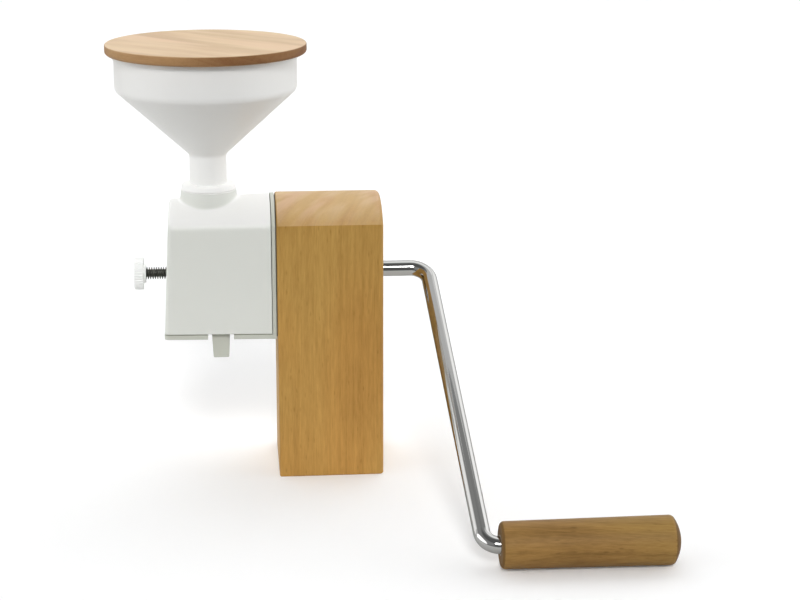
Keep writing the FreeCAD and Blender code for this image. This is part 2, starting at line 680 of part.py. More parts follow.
def side_wall(side):
    """Low wall inside the hood's front or rear, from the back plate to the bearing plate."""
    outer = side * SIDE_WALL_HALF_WIDTH
    inner = side * (SIDE_WALL_HALF_WIDTH - SIDE_WALL_THICKNESS)
    low, high = sorted((outer, inner))
    return box(BEARING_PLATE_RIGHT, PLATE_LEFT, low, high, TRAY_FOOT, SIDE_WALL_TOP)


def hub_gussets():
    """Ribs from the hub to the plate, front and up."""
    reach = HUB_RADIUS + HUB_LENGTH
    half = HUB_GUSSET_THICKNESS / 2
    corners = [
        Vector(PLATE_LEFT, -half, AXIS_HEIGHT),
        Vector(HUB_LEFT, -half, AXIS_HEIGHT),
        Vector(HUB_LEFT, -half, AXIS_HEIGHT + HUB_RADIUS),
        Vector(PLATE_LEFT, -half, AXIS_HEIGHT + reach),
    ]
    face = Part.Face(Part.makePolygon(corners + corners[:1]))
    gusset = face.extrude(Vector(0, HUB_GUSSET_THICKNESS, 0))
    turned = gusset.copy()
    turned.rotate(Vector(0, 0, AXIS_HEIGHT), X_AXIS, 90)
    low = gusset.copy()
    low.rotate(Vector(0, 0, AXIS_HEIGHT), X_AXIS, 180)
    return gusset.fuse(turned).fuse(low)


def tab_window(side):
    """Opening in the tray and side wall that a release tab hangs in."""
    half = TAB_WIDTH / 2 + TAB_SIDE_GAP
    pivot_top = TAB_PIVOT_HEIGHT + SIDE_WALL_THICKNESS / 2 + TAB_ROOT_GAP
    inner = SIDE_WALL_HALF_WIDTH - SIDE_WALL_THICKNESS
    outer = HOOD_HALF_WIDTH + 2 * FRAME_REVEAL
    low, high = sorted((side * inner, side * outer))
    notch = box(TAB_CENTRE - half, TAB_CENTRE + half, low, high, TRAY_FOOT, HOOD_FOOT)
    low, high = sorted((side * inner, side * SIDE_WALL_HALF_WIDTH))
    root = box(TAB_CENTRE - half, TAB_CENTRE + half, low, high, TRAY_FOOT, pivot_top)
    return notch.fuse(root)


def release_tab(side):
    """Finger tab with a round root and a barb that catches the hood."""
    outer = SIDE_WALL_HALF_WIDTH
    inner = SIDE_WALL_HALF_WIDTH - SIDE_WALL_THICKNESS
    middle = (outer + inner) / 2
    half = TAB_WIDTH / 2
    end_half = TAB_END_WIDTH / 2
    points = [
        Vector(TAB_CENTRE - half, inner, TAB_PIVOT_HEIGHT),
        Vector(TAB_CENTRE + half, inner, TAB_PIVOT_HEIGHT),
        Vector(TAB_CENTRE + half, inner, TRAY_TOP),
        Vector(TAB_CENTRE + end_half, inner, TAB_FOOT),
        Vector(TAB_CENTRE - end_half, inner, TAB_FOOT),
        Vector(TAB_CENTRE - half, inner, TRAY_TOP),
    ]
    tab = Part.Face(Part.makePolygon(points + points[:1])).extrude(Vector(0, SIDE_WALL_THICKNESS, 0))

    def foot_corner(centre, edge):
        return near(centre.z, TAB_FOOT) and near(edge.Length, SIDE_WALL_THICKNESS)

    tab = tab.makeFillet(TAB_CORNER, edges_where(tab, foot_corner))
    root = rod_x(SIDE_WALL_THICKNESS / 2, TAB_CENTRE - half, TAB_CENTRE + half, middle, TAB_PIVOT_HEIGHT)
    reach = half_width(TAB_CENTRE, MOULD_WALL) + BARB_LAP
    barb = [(outer, BARB_HEIGHT), (reach, BARB_HEIGHT), (outer, BARB_HEIGHT + BARB_DEPTH)]
    tab = tab.fuse(root).fuse(extrude_x(barb, TAB_CENTRE - half, TAB_CENTRE + half)).removeSplitter()
    if side < 0:
        tab = tab.mirror(Vector(0, 0, 0), Y_AXIS)
    return tab


def barb_pocket(side):
    """Pocket in the hood's inner wall for the barb of a tab."""
    half = TAB_WIDTH / 2 + BARB_POCKET_PLAY
    wall = half_width(TAB_CENTRE, MOULD_WALL)
    low, high = sorted((side * (wall - MOULD_WALL), side * (wall + BARB_POCKET_DEPTH)))
    foot = BARB_HEIGHT - BARB_POCKET_PLAY
    top = BARB_HEIGHT + BARB_DEPTH + BARB_POCKET_PLAY
    return box(TAB_CENTRE - half, TAB_CENTRE + half, low, high, foot, top)


def hood_solid(inset, foot, right):
    """Drafted body of the hood, drawn in by an inset, ended by the leaning wall."""
    wires = []
    left = END_WALL_X - HOOD_END_ROUND
    for x in (left, right):
        half = half_width(x, inset)
        top = crest(x, inset)
        wires.append(arched_outline(x, half, foot, top - arch_sagitta(half + inset), top))
    body = Part.makeLoft(wires, True, True)
    lean = math.tan(math.radians(END_WALL_LEAN))
    top = HOOD_CREST + HOOD_END_ROUND
    wall = [
        Vector(end_wall(foot) + inset, 0, foot),
        Vector(end_wall(foot) + inset + (top - foot) * lean, 0, top),
        Vector(left - HOOD_END_ROUND, 0, top),
        Vector(left - HOOD_END_ROUND, 0, foot),
    ]
    beyond = Part.Face(Part.makePolygon(wall + wall[:1])).extrude(Vector(0, 4 * HOOD_HALF_WIDTH, 0))
    beyond.translate(Vector(0, -2 * HOOD_HALF_WIDTH, 0))
    return body.cut(beyond)


def hood():
    """Moulded cover with the hopper socket, the chute below it and the boss for the insert."""
    shell = hood_solid(0, HOOD_FOOT, HOOD_RIGHT)

    def shoulder(centre, edge):
        middle = (HOOD_RIGHT + END_WALL_X) / 2
        return abs(centre.x - middle) < ROLLER_LENGTH / 2 and centre.z > AXIS_HEIGHT

    def end_rim(centre, edge):
        return centre.x < END_WALL_X + 2 * HOOD_END_ROUND and centre.z > HOOD_FOOT + MOULD_WALL

    shell = shell.makeFillet(HOOD_SHOULDER_ROUND, edges_where(shell, shoulder))
    shell = shell.makeFillet(HOOD_END_ROUND, edges_where(shell, end_rim))
    roof = crest(FUNNEL_X, MOULD_WALL)
    foot = Vector(FUNNEL_X, 0, roof - arch_sagitta(SOCKET_RADIUS))
    socket = Part.makeCone(SOCKET_RADIUS + SOCKET_FLARE, SOCKET_RADIUS, SOCKET_TOP - foot.z, foot, Z_AXIS)
    outside = shell.fuse(socket).removeSplitter()
    outside = round_socket_foot(outside)
    outside = round_ring(outside, SOCKET_RADIUS, SOCKET_TOP, SOCKET_TOP_ROUND)
    cavity = hood_solid(MOULD_WALL, HOOD_FOOT, HOOD_RIGHT)
    body = outside.cut(cavity)
    body = body.fuse(chute(cavity)).fuse(insert_boss())
    body = body.cut(rod_z(SOCKET_BORE, socket_floor(), SOCKET_TOP, FUNNEL_X, 0))
    body = body.cut(rod_z(NECK_BORE, CHUTE_FOOT, SOCKET_TOP, FUNNEL_X, 0))
    screw_way = rod_x(THREAD_RADIUS + THREAD_CLEARANCE, 2 * END_WALL_X, SCREW_TIP)
    body = body.cut(thread_insert()).cut(screw_way)
    for side in (-1, 1):
        body = body.cut(barb_pocket(side))
    return body.removeSplitter()


def round_socket_foot(outside):
    """Rounds the line where the socket meets the arched roof."""
    def foot_line(centre, edge):
        if isinstance(edge.Curve, (Part.Circle, Part.Line)):
            return False
        reach = math.hypot(edge.Vertexes[0].X - FUNNEL_X, edge.Vertexes[0].Y)
        return reach < SOCKET_RADIUS + 2 * SOCKET_FLARE

    return outside.makeFillet(SOCKET_FOOT_ROUND, edges_where(outside, foot_line))


def socket_floor():
    """Height of the ledge inside the socket, just below the spigot."""
    return SOCKET_TOP - SPIGOT_LENGTH - SPIGOT_END_PLAY


def chute(cavity):
    """Tube below the socket that drops the grain on the rollers."""
    upper = rod_z(SOCKET_BORE + CHUTE_WALL, socket_floor() - CHUTE_WALL, HOOD_CREST, FUNNEL_X, 0)
    lower = rod_z(NECK_BORE + CHUTE_WALL, CHUTE_FOOT, HOOD_CREST, FUNNEL_X, 0)
    return upper.fuse(lower).common(cavity)


def insert_left():
    """Outer end of the insert, just inside the hood's end wall."""
    return end_wall(AXIS_HEIGHT) + INSERT_STAND_OFF


def thread_insert():
    """Flanged metal nut moulded into the hood's end wall."""
    body = rod_x(INSERT_RADIUS, insert_left(), INSERT_RIGHT)
    flange_left = INSERT_RIGHT - INSERT_FLANGE_THICKNESS
    body = body.fuse(hexagon_x(INSERT_ACROSS_FLATS, flange_left, INSERT_RIGHT))
    body = body.removeSplitter()
    return body.cut(rod_x(THREAD_RADIUS + THREAD_CLEARANCE, 2 * insert_left(), INSERT_RIGHT))


def insert_boss():
    """Boss inside the end wall, round the insert."""
    wall_inside = end_wall(AXIS_HEIGHT - INSERT_BOSS_RADIUS)
    return rod_x(INSERT_BOSS_RADIUS, wall_inside + MOULD_WALL / 2, INSERT_RIGHT)


def bearing_plate():
    """Moulded plate at the screw end that carries the rollers' left ends."""
    half = SIDE_WALL_HALF_WIDTH
    body = box(BEARING_PLATE_LEFT, BEARING_PLATE_RIGHT, -half, half, TRAY_TOP, BEARING_PLATE_TOP)

    def upper_corner(centre, edge):
        return near(centre.z, BEARING_PLATE_TOP) and near(edge.Length, BEARING_PLATE_THICKNESS)

    body = body.makeFillet(BEARING_PLATE_CORNER, edges_where(body, upper_corner))
    body = body.fuse(rod_x(HUB_RADIUS, BEARING_PLATE_RIGHT, BEARING_HUB_RIGHT)).removeSplitter()
    body = body.cut(rod_x(ROLLER_BUSH_RADIUS, BEARING_PLATE_LEFT, BEARING_HUB_RIGHT))
    for angle in (UPPER_IDLER_ANGLE, LOWER_IDLER_ANGLE):
        y, z = idler_centre(angle)
        body = body.cut(rod_x(AXLE_END_RADIUS, BEARING_PLATE_LEFT, BEARING_PLATE_RIGHT, y, z))
    for y in plate_screw_places():
        body = body.cut(plate_screw(y, False))
    return body.cut(front_feed_guide()).cut(rear_feed_guide())


def plain_bush(x0, x1):
    """Plain bush round the drive roller's journal."""
    ring = rod_x(ROLLER_BUSH_RADIUS, x0, x1)
    return ring.cut(rod_x(JOURNAL_RADIUS + RUNNING_CLEARANCE, x0, x1))


def fluted_cone(radius_left, radius_right, flutes, y, z):
    """Cone with shallow flutes along it, lofted from one fluted outline to the other."""
    wires = []
    pitch = 2 * math.pi / flutes
    land = pitch * (1 - FLUTE_SHARE)
    for x, radius in ((ROLLER_LEFT, radius_left), (ROLLER_RIGHT, radius_right)):
        def point(turn, reach):
            return Vector(x, y + reach * math.cos(turn), z + reach * math.sin(turn))

        edges = []
        for index in range(flutes):
            start = index * pitch
            land_end = start + land
            bottom = (land_end + start + pitch) / 2
            land_from = point(start, radius)
            land_to = point(land_end, radius)
            groove = point(bottom, radius - FLUTE_DEPTH)
            edges.append(Part.Arc(land_from, point(start + land / 2, radius), land_to).toShape())
            edges.append(Part.makeLine(land_to, groove))
            edges.append(Part.makeLine(groove, point(start + pitch, radius)))
        wires.append(Part.Wire(edges))
    return Part.makeLoft(wires, True, True)


def drive_roller():
    """Driven cone with a shoulder and journal at each end and a hexagon tail."""
    body = fluted_cone(DRIVE_LARGE_RADIUS, DRIVE_SMALL_RADIUS, DRIVE_FLUTES, 0, AXIS_HEIGHT)
    shoulder_left = ROLLER_LEFT - ROLLER_SHOULDER_LENGTH
    shoulder_right = ROLLER_RIGHT + ROLLER_SHOULDER_LENGTH
    body = body.fuse(rod_x(ROLLER_SHOULDER_RADIUS, shoulder_left, shoulder_right))
    body = body.fuse(rod_x(JOURNAL_RADIUS, ROLLER_END, JOURNAL_RIGHT))
    body = body.fuse(hexagon_x(HEX_ACROSS_FLATS, JOURNAL_RIGHT, HEX_TAIL_RIGHT))
    pocket = rod_x(BALL_RADIUS + BALL_POCKET_CLEARANCE, ROLLER_END, ROLLER_END + BALL_POCKET_DEPTH)
    return body.cut(pocket).removeSplitter()


def idler_roller(angle):
    """Counter cone, its large end towards the block, bored for its bushes."""
    y, z = idler_centre(angle)
    body = fluted_cone(IDLER_SMALL_RADIUS, IDLER_LARGE_RADIUS, IDLER_FLUTES, y, z)
    return body.cut(rod_x(IDLER_BUSH_RADIUS, ROLLER_LEFT, ROLLER_RIGHT, y, z))


def idler_bushes(angle):
    """Pair of bushes in an idler, flush with its ends."""
    y, z = idler_centre(angle)
    bore = rod_x(AXLE_RADIUS + RUNNING_CLEARANCE, ROLLER_LEFT, ROLLER_RIGHT, y, z)
    left = rod_x(IDLER_BUSH_RADIUS, ROLLER_LEFT, ROLLER_LEFT + IDLER_BUSH_LENGTH, y, z)
    right = rod_x(IDLER_BUSH_RADIUS, ROLLER_RIGHT - IDLER_BUSH_LENGTH, ROLLER_RIGHT, y, z)
    return Part.makeCompound([left.cut(bore), right.cut(bore)])


def idler_axle(angle):
    """Fixed axle with a thin threaded end in the back plate and one through the bearing plate."""
    y, z = idler_centre(angle)
    boss_left = PLATE_LEFT - AXLE_BOSS_LENGTH
    body = rod_x(AXLE_RADIUS, BEARING_PLATE_RIGHT, boss_left, y, z)
    nut_left = BEARING_PLATE_LEFT - NUT_THICKNESS - AXLE_END_STAND
    body = body.fuse(rod_x(AXLE_END_RADIUS, nut_left, PLATE_LEFT, y, z))
    spacers = axle_spacer(BEARING_PLATE_RIGHT, ROLLER_LEFT - IDLER_END_PLAY, y, z)
    spacers = spacers.fuse(axle_spacer(ROLLER_RIGHT + IDLER_END_PLAY, boss_left, y, z))
    return body.fuse(spacers).removeSplitter()


def axle_spacer(x0, x1, y, z):
    """Collar of the axle that keeps the idler off the plate."""
    return rod_x(AXLE_RADIUS + AXLE_COLLAR, x0, x1, y, z)


def axle_nuts():
    """Hexagon nuts on both axles, outside the bearing plate."""
    nuts = []
    for angle in (UPPER_IDLER_ANGLE, LOWER_IDLER_ANGLE):
        y, z = idler_centre(angle)
        left = BEARING_PLATE_LEFT - NUT_THICKNESS
        nut = hexagon_x(NUT_ACROSS_FLATS, left, BEARING_PLATE_LEFT, y, z)
        nuts.append(nut.cut(rod_x(AXLE_END_RADIUS, left, BEARING_PLATE_LEFT, y, z)))
    return Part.makeCompound(nuts)


def guide(top, knee, foot):
    """Bent plate of even thickness along the rollers, let into both plates."""
    shift = GUIDE_THICKNESS / 2
    points = [
        (top[0] - shift, top[1]),
        (top[0] + shift, top[1]),
        (knee[0] + shift, knee[1]),
        (foot[0] + shift, foot[1]),
        (foot[0] - shift, foot[1]),
        (knee[0] - shift, knee[1]),
    ]
    return extrude_x(points, BEARING_PLATE_RIGHT - GUIDE_TENON, PLATE_LEFT + GUIDE_TENON)


def front_feed_guide():
    """Guide that turns the falling grain towards the upper nip."""
    top = (-NECK_BORE - CHUTE_WALL - GUIDE_THICKNESS / 2, CHUTE_FOOT - GUIDE_CHUTE_GAP)
    knee = (-FRONT_GUIDE_SET, top[1] - FRONT_GUIDE_SLOPE_HEIGHT)
    foot = (-FRONT_GUIDE_SET, AXIS_HEIGHT + DRIVE_LARGE_RADIUS + FRONT_GUIDE_FOOT_GAP)
    return guide(top, knee, foot)


def rear_feed_guide():
    """Guide behind the rollers that leads the flakes to the lower nip."""
    top_y = REAR_GUIDE_Y + REAR_GUIDE_LEAN
    reach = IDLER_LARGE_RADIUS + REAR_GUIDE_CLEARANCE
    beside = min(reach, top_y - GUIDE_THICKNESS / 2 - UPPER_IDLER_Y)
    top_z = UPPER_IDLER_Z - math.sqrt(reach ** 2 - beside ** 2)
    return guide((top_y, top_z), (REAR_GUIDE_Y, AXIS_HEIGHT), (REAR_GUIDE_Y, SIDE_WALL_TOP + GUIDE_WALL_GAP))


def countersunk_screw(y, z, slotted=True):
    """Wood screw along X, its head sunk in the back plate."""
    head_right = PLATE_LEFT + SCREW_HEAD_HEIGHT
    body = rod_x(SCREW_RADIUS, PLATE_LEFT, PLATE_LEFT + SCREW_LENGTH, y, z)
    body = body.fuse(cone_x(SCREW_HEAD_RADIUS, SCREW_RADIUS, PLATE_LEFT, head_right, y, z))
    if slotted:
        half = SCREW_SLOT_WIDTH / 2
        reach = SCREW_HEAD_RADIUS
        slot = box(PLATE_LEFT, PLATE_LEFT + SCREW_SLOT_DEPTH, y - half, y + half, z - reach, z + reach)
        body = body.cut(slot)
    return body.removeSplitter()


def frame_screws():
    """The four screws between the frame and the block."""
    return Part.makeCompound([countersunk_screw(y, z) for y, z in frame_screw_places()])


def plate_screw_places():
    """Places along Y of the screws under the bearing plate."""
    return [-PLATE_SCREW_SPACING / 2, PLATE_SCREW_SPACING / 2]


def plate_screw(y, slotted=True):
    """Screw from below, through the tray into the bearing plate."""
    x = (BEARING_PLATE_LEFT + BEARING_PLATE_RIGHT) / 2
    body = rod_z(PLATE_SCREW_RADIUS, TRAY_FOOT, TRAY_FOOT + PLATE_SCREW_LENGTH, x, y)
    head = Part.makeCone(PLATE_SCREW_HEAD_RADIUS, PLATE_SCREW_RADIUS, PLATE_SCREW_HEAD_HEIGHT,
                         Vector(x, y, TRAY_FOOT), Z_AXIS)
    body = body.fuse(head)
    if slotted:
        half = SCREW_SLOT_WIDTH / 2
        reach = PLATE_SCREW_HEAD_RADIUS
        slot = box(x - reach, x + reach, y - half, y + half, TRAY_FOOT, TRAY_FOOT + SCREW_SLOT_DEPTH)
        body = body.cut(slot)
    return body.removeSplitter()


def plate_screws():
    """The two screws that hold the bearing plate on the tray."""
    return Part.makeCompound([plate_screw(y) for y in plate_screw_places()])


def knob_right():
    """Inner face of the knob's ribbed rim."""
    return end_wall(AXIS_HEIGHT) - SCREW_VISIBLE_LENGTH - KNOB_HUB_LENGTH


def adjusting_screw():
    """Threaded rod from the knob to the thrust ball, drawn at its outer diameter."""
    return rod_x(THREAD_RADIUS, knob_right() - KNOB_THICKNESS + KNOB_CAP, SCREW_TIP)


def adjusting_knob():
    """Small round knob with ribs along its rim, moulded on the screw."""
    left = knob_right() - KNOB_THICKNESS
    pitch = 2 * math.pi / KNOB_RIBS

    def point(turn, reach):
        return Vector(left, reach * math.cos(turn), AXIS_HEIGHT + reach * math.sin(turn))

    edges = []
    for index in range(KNOB_RIBS):
        turn = index * pitch
        valley = KNOB_RADIUS - KNOB_RIB_DEPTH
        edges.append(Part.Arc(point(turn, valley), point(turn + pitch / 2, KNOB_RADIUS),
                              point(turn + pitch, valley)).toShape())
    rim = Part.Face(Part.Wire(edges)).extrude(Vector(KNOB_THICKNESS, 0, 0))
    blank = rod_x(KNOB_RADIUS, left, knob_right())
    outer = edges_where(blank, lambda centre, edge: edge.Closed and near(centre.x, left))
    rim = rim.common(blank.makeFillet(KNOB_EDGE, outer))
    hub = rod_x(KNOB_HUB_RADIUS, left + KNOB_CAP, knob_right() + KNOB_HUB_LENGTH)
    return rim.fuse(hub).removeSplitter().cut(adjusting_screw())


def thrust_ball():
    """Ball in the pocket of the drive roller, pushed by the screw."""
    return Part.makeSphere(BALL_RADIUS, Vector(BALL_CENTRE, 0, AXIS_HEIGHT))


def hopper_funnel():
    """Turned shape: spigot, collar, neck, cone and bowl of even wall."""
    slope = (BOWL_FOOT - NECK_TOP) / (BOWL_RADIUS - NECK_RADIUS)
    rise = FUNNEL_WALL * (math.sqrt(1 + slope ** 2) - slope)
    bead_foot = RIM_TOP - RIM_BEAD_HEIGHT
    outline = [
        (NECK_BORE, SOCKET_TOP - SPIGOT_LENGTH),
        (SPIGOT_RADIUS, SOCKET_TOP - SPIGOT_LENGTH),
        (SPIGOT_RADIUS, SOCKET_TOP),
        (COLLAR_RADIUS, SOCKET_TOP),
        (COLLAR_TOP_RADIUS, COLLAR_TOP),
        (NECK_RADIUS, COLLAR_TOP),
        (NECK_RADIUS, NECK_TOP),
        (BOWL_RADIUS, BOWL_FOOT),
        (BOWL_RADIUS, bead_foot),
        (BOWL_RADIUS + RIM_BEAD, bead_foot),
        (BOWL_RADIUS + RIM_BEAD, RIM_TOP),
        (BOWL_RADIUS - FUNNEL_WALL, RIM_TOP),
        (BOWL_RADIUS - FUNNEL_WALL, BOWL_FOOT + rise),
        (NECK_BORE, NECK_TOP + rise),
    ]
    body = turned_z(outline, FUNNEL_X)
    rounds = [
        (BOWL_RADIUS, BOWL_FOOT, BOWL_ROUND),
        (BOWL_RADIUS - FUNNEL_WALL, BOWL_FOOT + rise, BOWL_ROUND - FUNNEL_WALL),
        (NECK_RADIUS, NECK_TOP, NECK_ROUND),
        (NECK_BORE, NECK_TOP + rise, NECK_ROUND + FUNNEL_WALL),
        (COLLAR_RADIUS, SOCKET_TOP, COLLAR_FOOT_ROUND),
        (COLLAR_TOP_RADIUS, COLLAR_TOP, COLLAR_ROUND),
        (BOWL_RADIUS + RIM_BEAD, RIM_TOP, RIM_BEAD_ROUND),
    ]
    for radius, z, size in rounds:
        body = round_ring(body, radius, z, size)
    return body


def turned_z(outline, x):
    """Closed outline of (radius, z) points turned round a vertical axis at x."""
    corners = [Vector(x + radius, 0, z) for radius, z in outline]
    face = Part.Face(Part.makePolygon(corners + corners[:1]))
    return face.revolve(Vector(x, 0, 0), Z_AXIS, 360)


def round_ring(body, radius, z, size):
    """Rounds the circular edge of a turned body at a radius and a height."""
    def ring(centre, edge):
        return isinstance(edge.Curve, Part.Circle) and near(edge.Curve.Radius, radius) and near(centre.z, z)

    return body.makeFillet(size, edges_where(body, ring))


def hopper_lid():
    """Wooden disc with a plug that sits in the hopper's rim."""
    plug = BOWL_RADIUS - FUNNEL_WALL - LID_PLUG_CLEARANCE
    top = RIM_TOP + LID_THICKNESS
    outline = [
        (0, RIM_TOP - LID_PLUG_HEIGHT),
        (plug, RIM_TOP - LID_PLUG_HEIGHT),
        (plug, RIM_TOP),
        (LID_RADIUS, RIM_TOP),
        (LID_RADIUS, top),
        (0, top),
    ]
    body = turned_z(outline, FUNNEL_X + LID_SHIFT)
    body = round_ring(body, LID_RADIUS, top, LID_TOP_ROUND)
    body = round_ring(body, LID_RADIUS, RIM_TOP, LID_FOOT_ROUND)
    return round_ring(body, plug, RIM_TOP - LID_PLUG_HEIGHT, LID_PLUG_ROUND)


PIECES = {
    "wooden_block": wooden_block,
    "shaft_bush_right": shaft_bush_right,
    "shaft_bush_left": shaft_bush_left,
    "retaining_ring": retaining_ring,
    "thrust_washer": thrust_washer,
    "drive_coupling": drive_coupling,
    "coupling_pin": coupling_pin,
    "crank_rod": crank_rod,
    "wooden_grip": wooden_grip,
    "grip_sleeve": grip_sleeve,
    "grip_clip": grip_clip,
    "roller_frame": roller_frame,
    "frame_screws": frame_screws,
    "bearing_plate": bearing_plate,
    "plate_screws": plate_screws,
    "roller_bush_right": lambda: plain_bush(HUB_LEFT, PLATE_LEFT),
    "roller_bush_left": lambda: plain_bush(BEARING_PLATE_LEFT, BEARING_HUB_RIGHT),
    "drive_roller": drive_roller,
    "upper_idler_roller": lambda: idler_roller(UPPER_IDLER_ANGLE),
    "lower_idler_roller": lambda: idler_roller(LOWER_IDLER_ANGLE),
    "upper_idler_bushes": lambda: idler_bushes(UPPER_IDLER_ANGLE),
    "lower_idler_bushes": lambda: idler_bushes(LOWER_IDLER_ANGLE),
    "upper_axle": lambda: idler_axle(UPPER_IDLER_ANGLE),
    "lower_axle": lambda: idler_axle(LOWER_IDLER_ANGLE),
    "axle_nuts": axle_nuts,
    "front_feed_guide": front_feed_guide,
    "rear_feed_guide": rear_feed_guide,
    "hood": hood,
    "front_release_tab": lambda: release_tab(-1),
    "rear_release_tab": lambda: release_tab(1),
    "thread_insert": thread_insert,
    "adjusting_screw": adjusting_screw,
    "adjusting_knob": adjusting_knob,
    "thrust_ball": thrust_ball,
    "hopper_funnel": hopper_funnel,
    "hopper_lid": hopper_lid,
}


def main():
    """Builds every piece and writes it to its own file."""
    os.makedirs("parts", exist_ok=True)
    for name, build in PIECES.items():
        shape = build()
        shape.exportStep(os.path.join("parts", name + ".step"))
        print(name, "solids", len(shape.Solids), "volume", round(shape.Volume, 1), "valid", shape.isValid())


main()
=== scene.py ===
"""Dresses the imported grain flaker: oiled beech, moulded plastic, bright rod, real screw thread.

Everything is in metres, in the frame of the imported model: the origin is the centre of the
wooden block's foot, +X runs along the crank axis towards the crank, -Y is the front.
"""
import logging
import math
from dataclasses import dataclass
from enum import Enum

import bpy
import numpy as np
from mathutils import Matrix, Vector


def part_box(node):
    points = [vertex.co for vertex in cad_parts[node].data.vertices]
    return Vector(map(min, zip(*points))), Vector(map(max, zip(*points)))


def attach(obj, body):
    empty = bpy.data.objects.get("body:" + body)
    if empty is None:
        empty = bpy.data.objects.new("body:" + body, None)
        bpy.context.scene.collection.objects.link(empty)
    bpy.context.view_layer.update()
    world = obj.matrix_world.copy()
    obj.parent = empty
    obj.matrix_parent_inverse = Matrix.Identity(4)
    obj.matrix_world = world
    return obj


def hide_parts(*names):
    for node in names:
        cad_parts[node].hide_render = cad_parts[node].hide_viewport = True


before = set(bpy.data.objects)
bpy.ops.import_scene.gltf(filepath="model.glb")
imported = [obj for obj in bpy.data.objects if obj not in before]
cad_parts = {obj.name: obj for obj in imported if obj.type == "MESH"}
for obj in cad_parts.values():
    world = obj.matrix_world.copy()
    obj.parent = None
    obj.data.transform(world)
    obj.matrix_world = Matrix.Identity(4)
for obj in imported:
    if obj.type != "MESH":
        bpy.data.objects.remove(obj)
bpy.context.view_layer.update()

LOG = logging.getLogger("grain_flaker")

Colour = tuple[float, float, float]
Triple = tuple[float, float, float]
Pair = tuple[float, float]
Socket = bpy.types.NodeSocket
Sockets = bpy.types.bpy_prop_collection

# The photograph's width in pixels, and the camera's sensor in millimetres.
PHOTO_WIDTH = 800
SENSOR_WIDTH = 36.0

# The display's transfer curve: a straight start, then a power of the raised value.
CURVE_START = 0.04045
START_SLOPE = 12.92
CURVE_RISE = 0.055
CURVE_POWER = 2.4

# How the nodes of a tree are laid out, in the node editor's units.
NODE_COLUMN = 180
NODE_ROW = -220
NODES_PER_ROW = 12

# Places of the colour sockets on a Mix node.
MIX_SHARE = 0
MIX_FIRST = 6
MIX_SECOND = 7
MIX_RESULT = 2


def linear(red: int, green: int, blue: int) -> Colour:
    """Scene-linear colour of a display colour.

    Args:
        red: Red, 0 to 255.
        green: Green, 0 to 255.
        blue: Blue, 0 to 255.

    Returns:
        The three linear values, 0 to 1.
    """
    def one(value: int) -> float:
        """Linear value of one channel, by the display's transfer curve."""
        share = value / 255
        if share <= CURVE_START:
            return share / START_SLOPE
        return ((share + CURVE_RISE) / (1 + CURVE_RISE)) ** CURVE_POWER

    return one(red), one(green), one(blue)


@dataclass(frozen=True)
class Noise:
    """Stretched noise: features per metre along each axis, octaves, strength of each finer octave."""

    scale: Triple | Socket
    detail: float = 2.0
    rough: float = 0.5


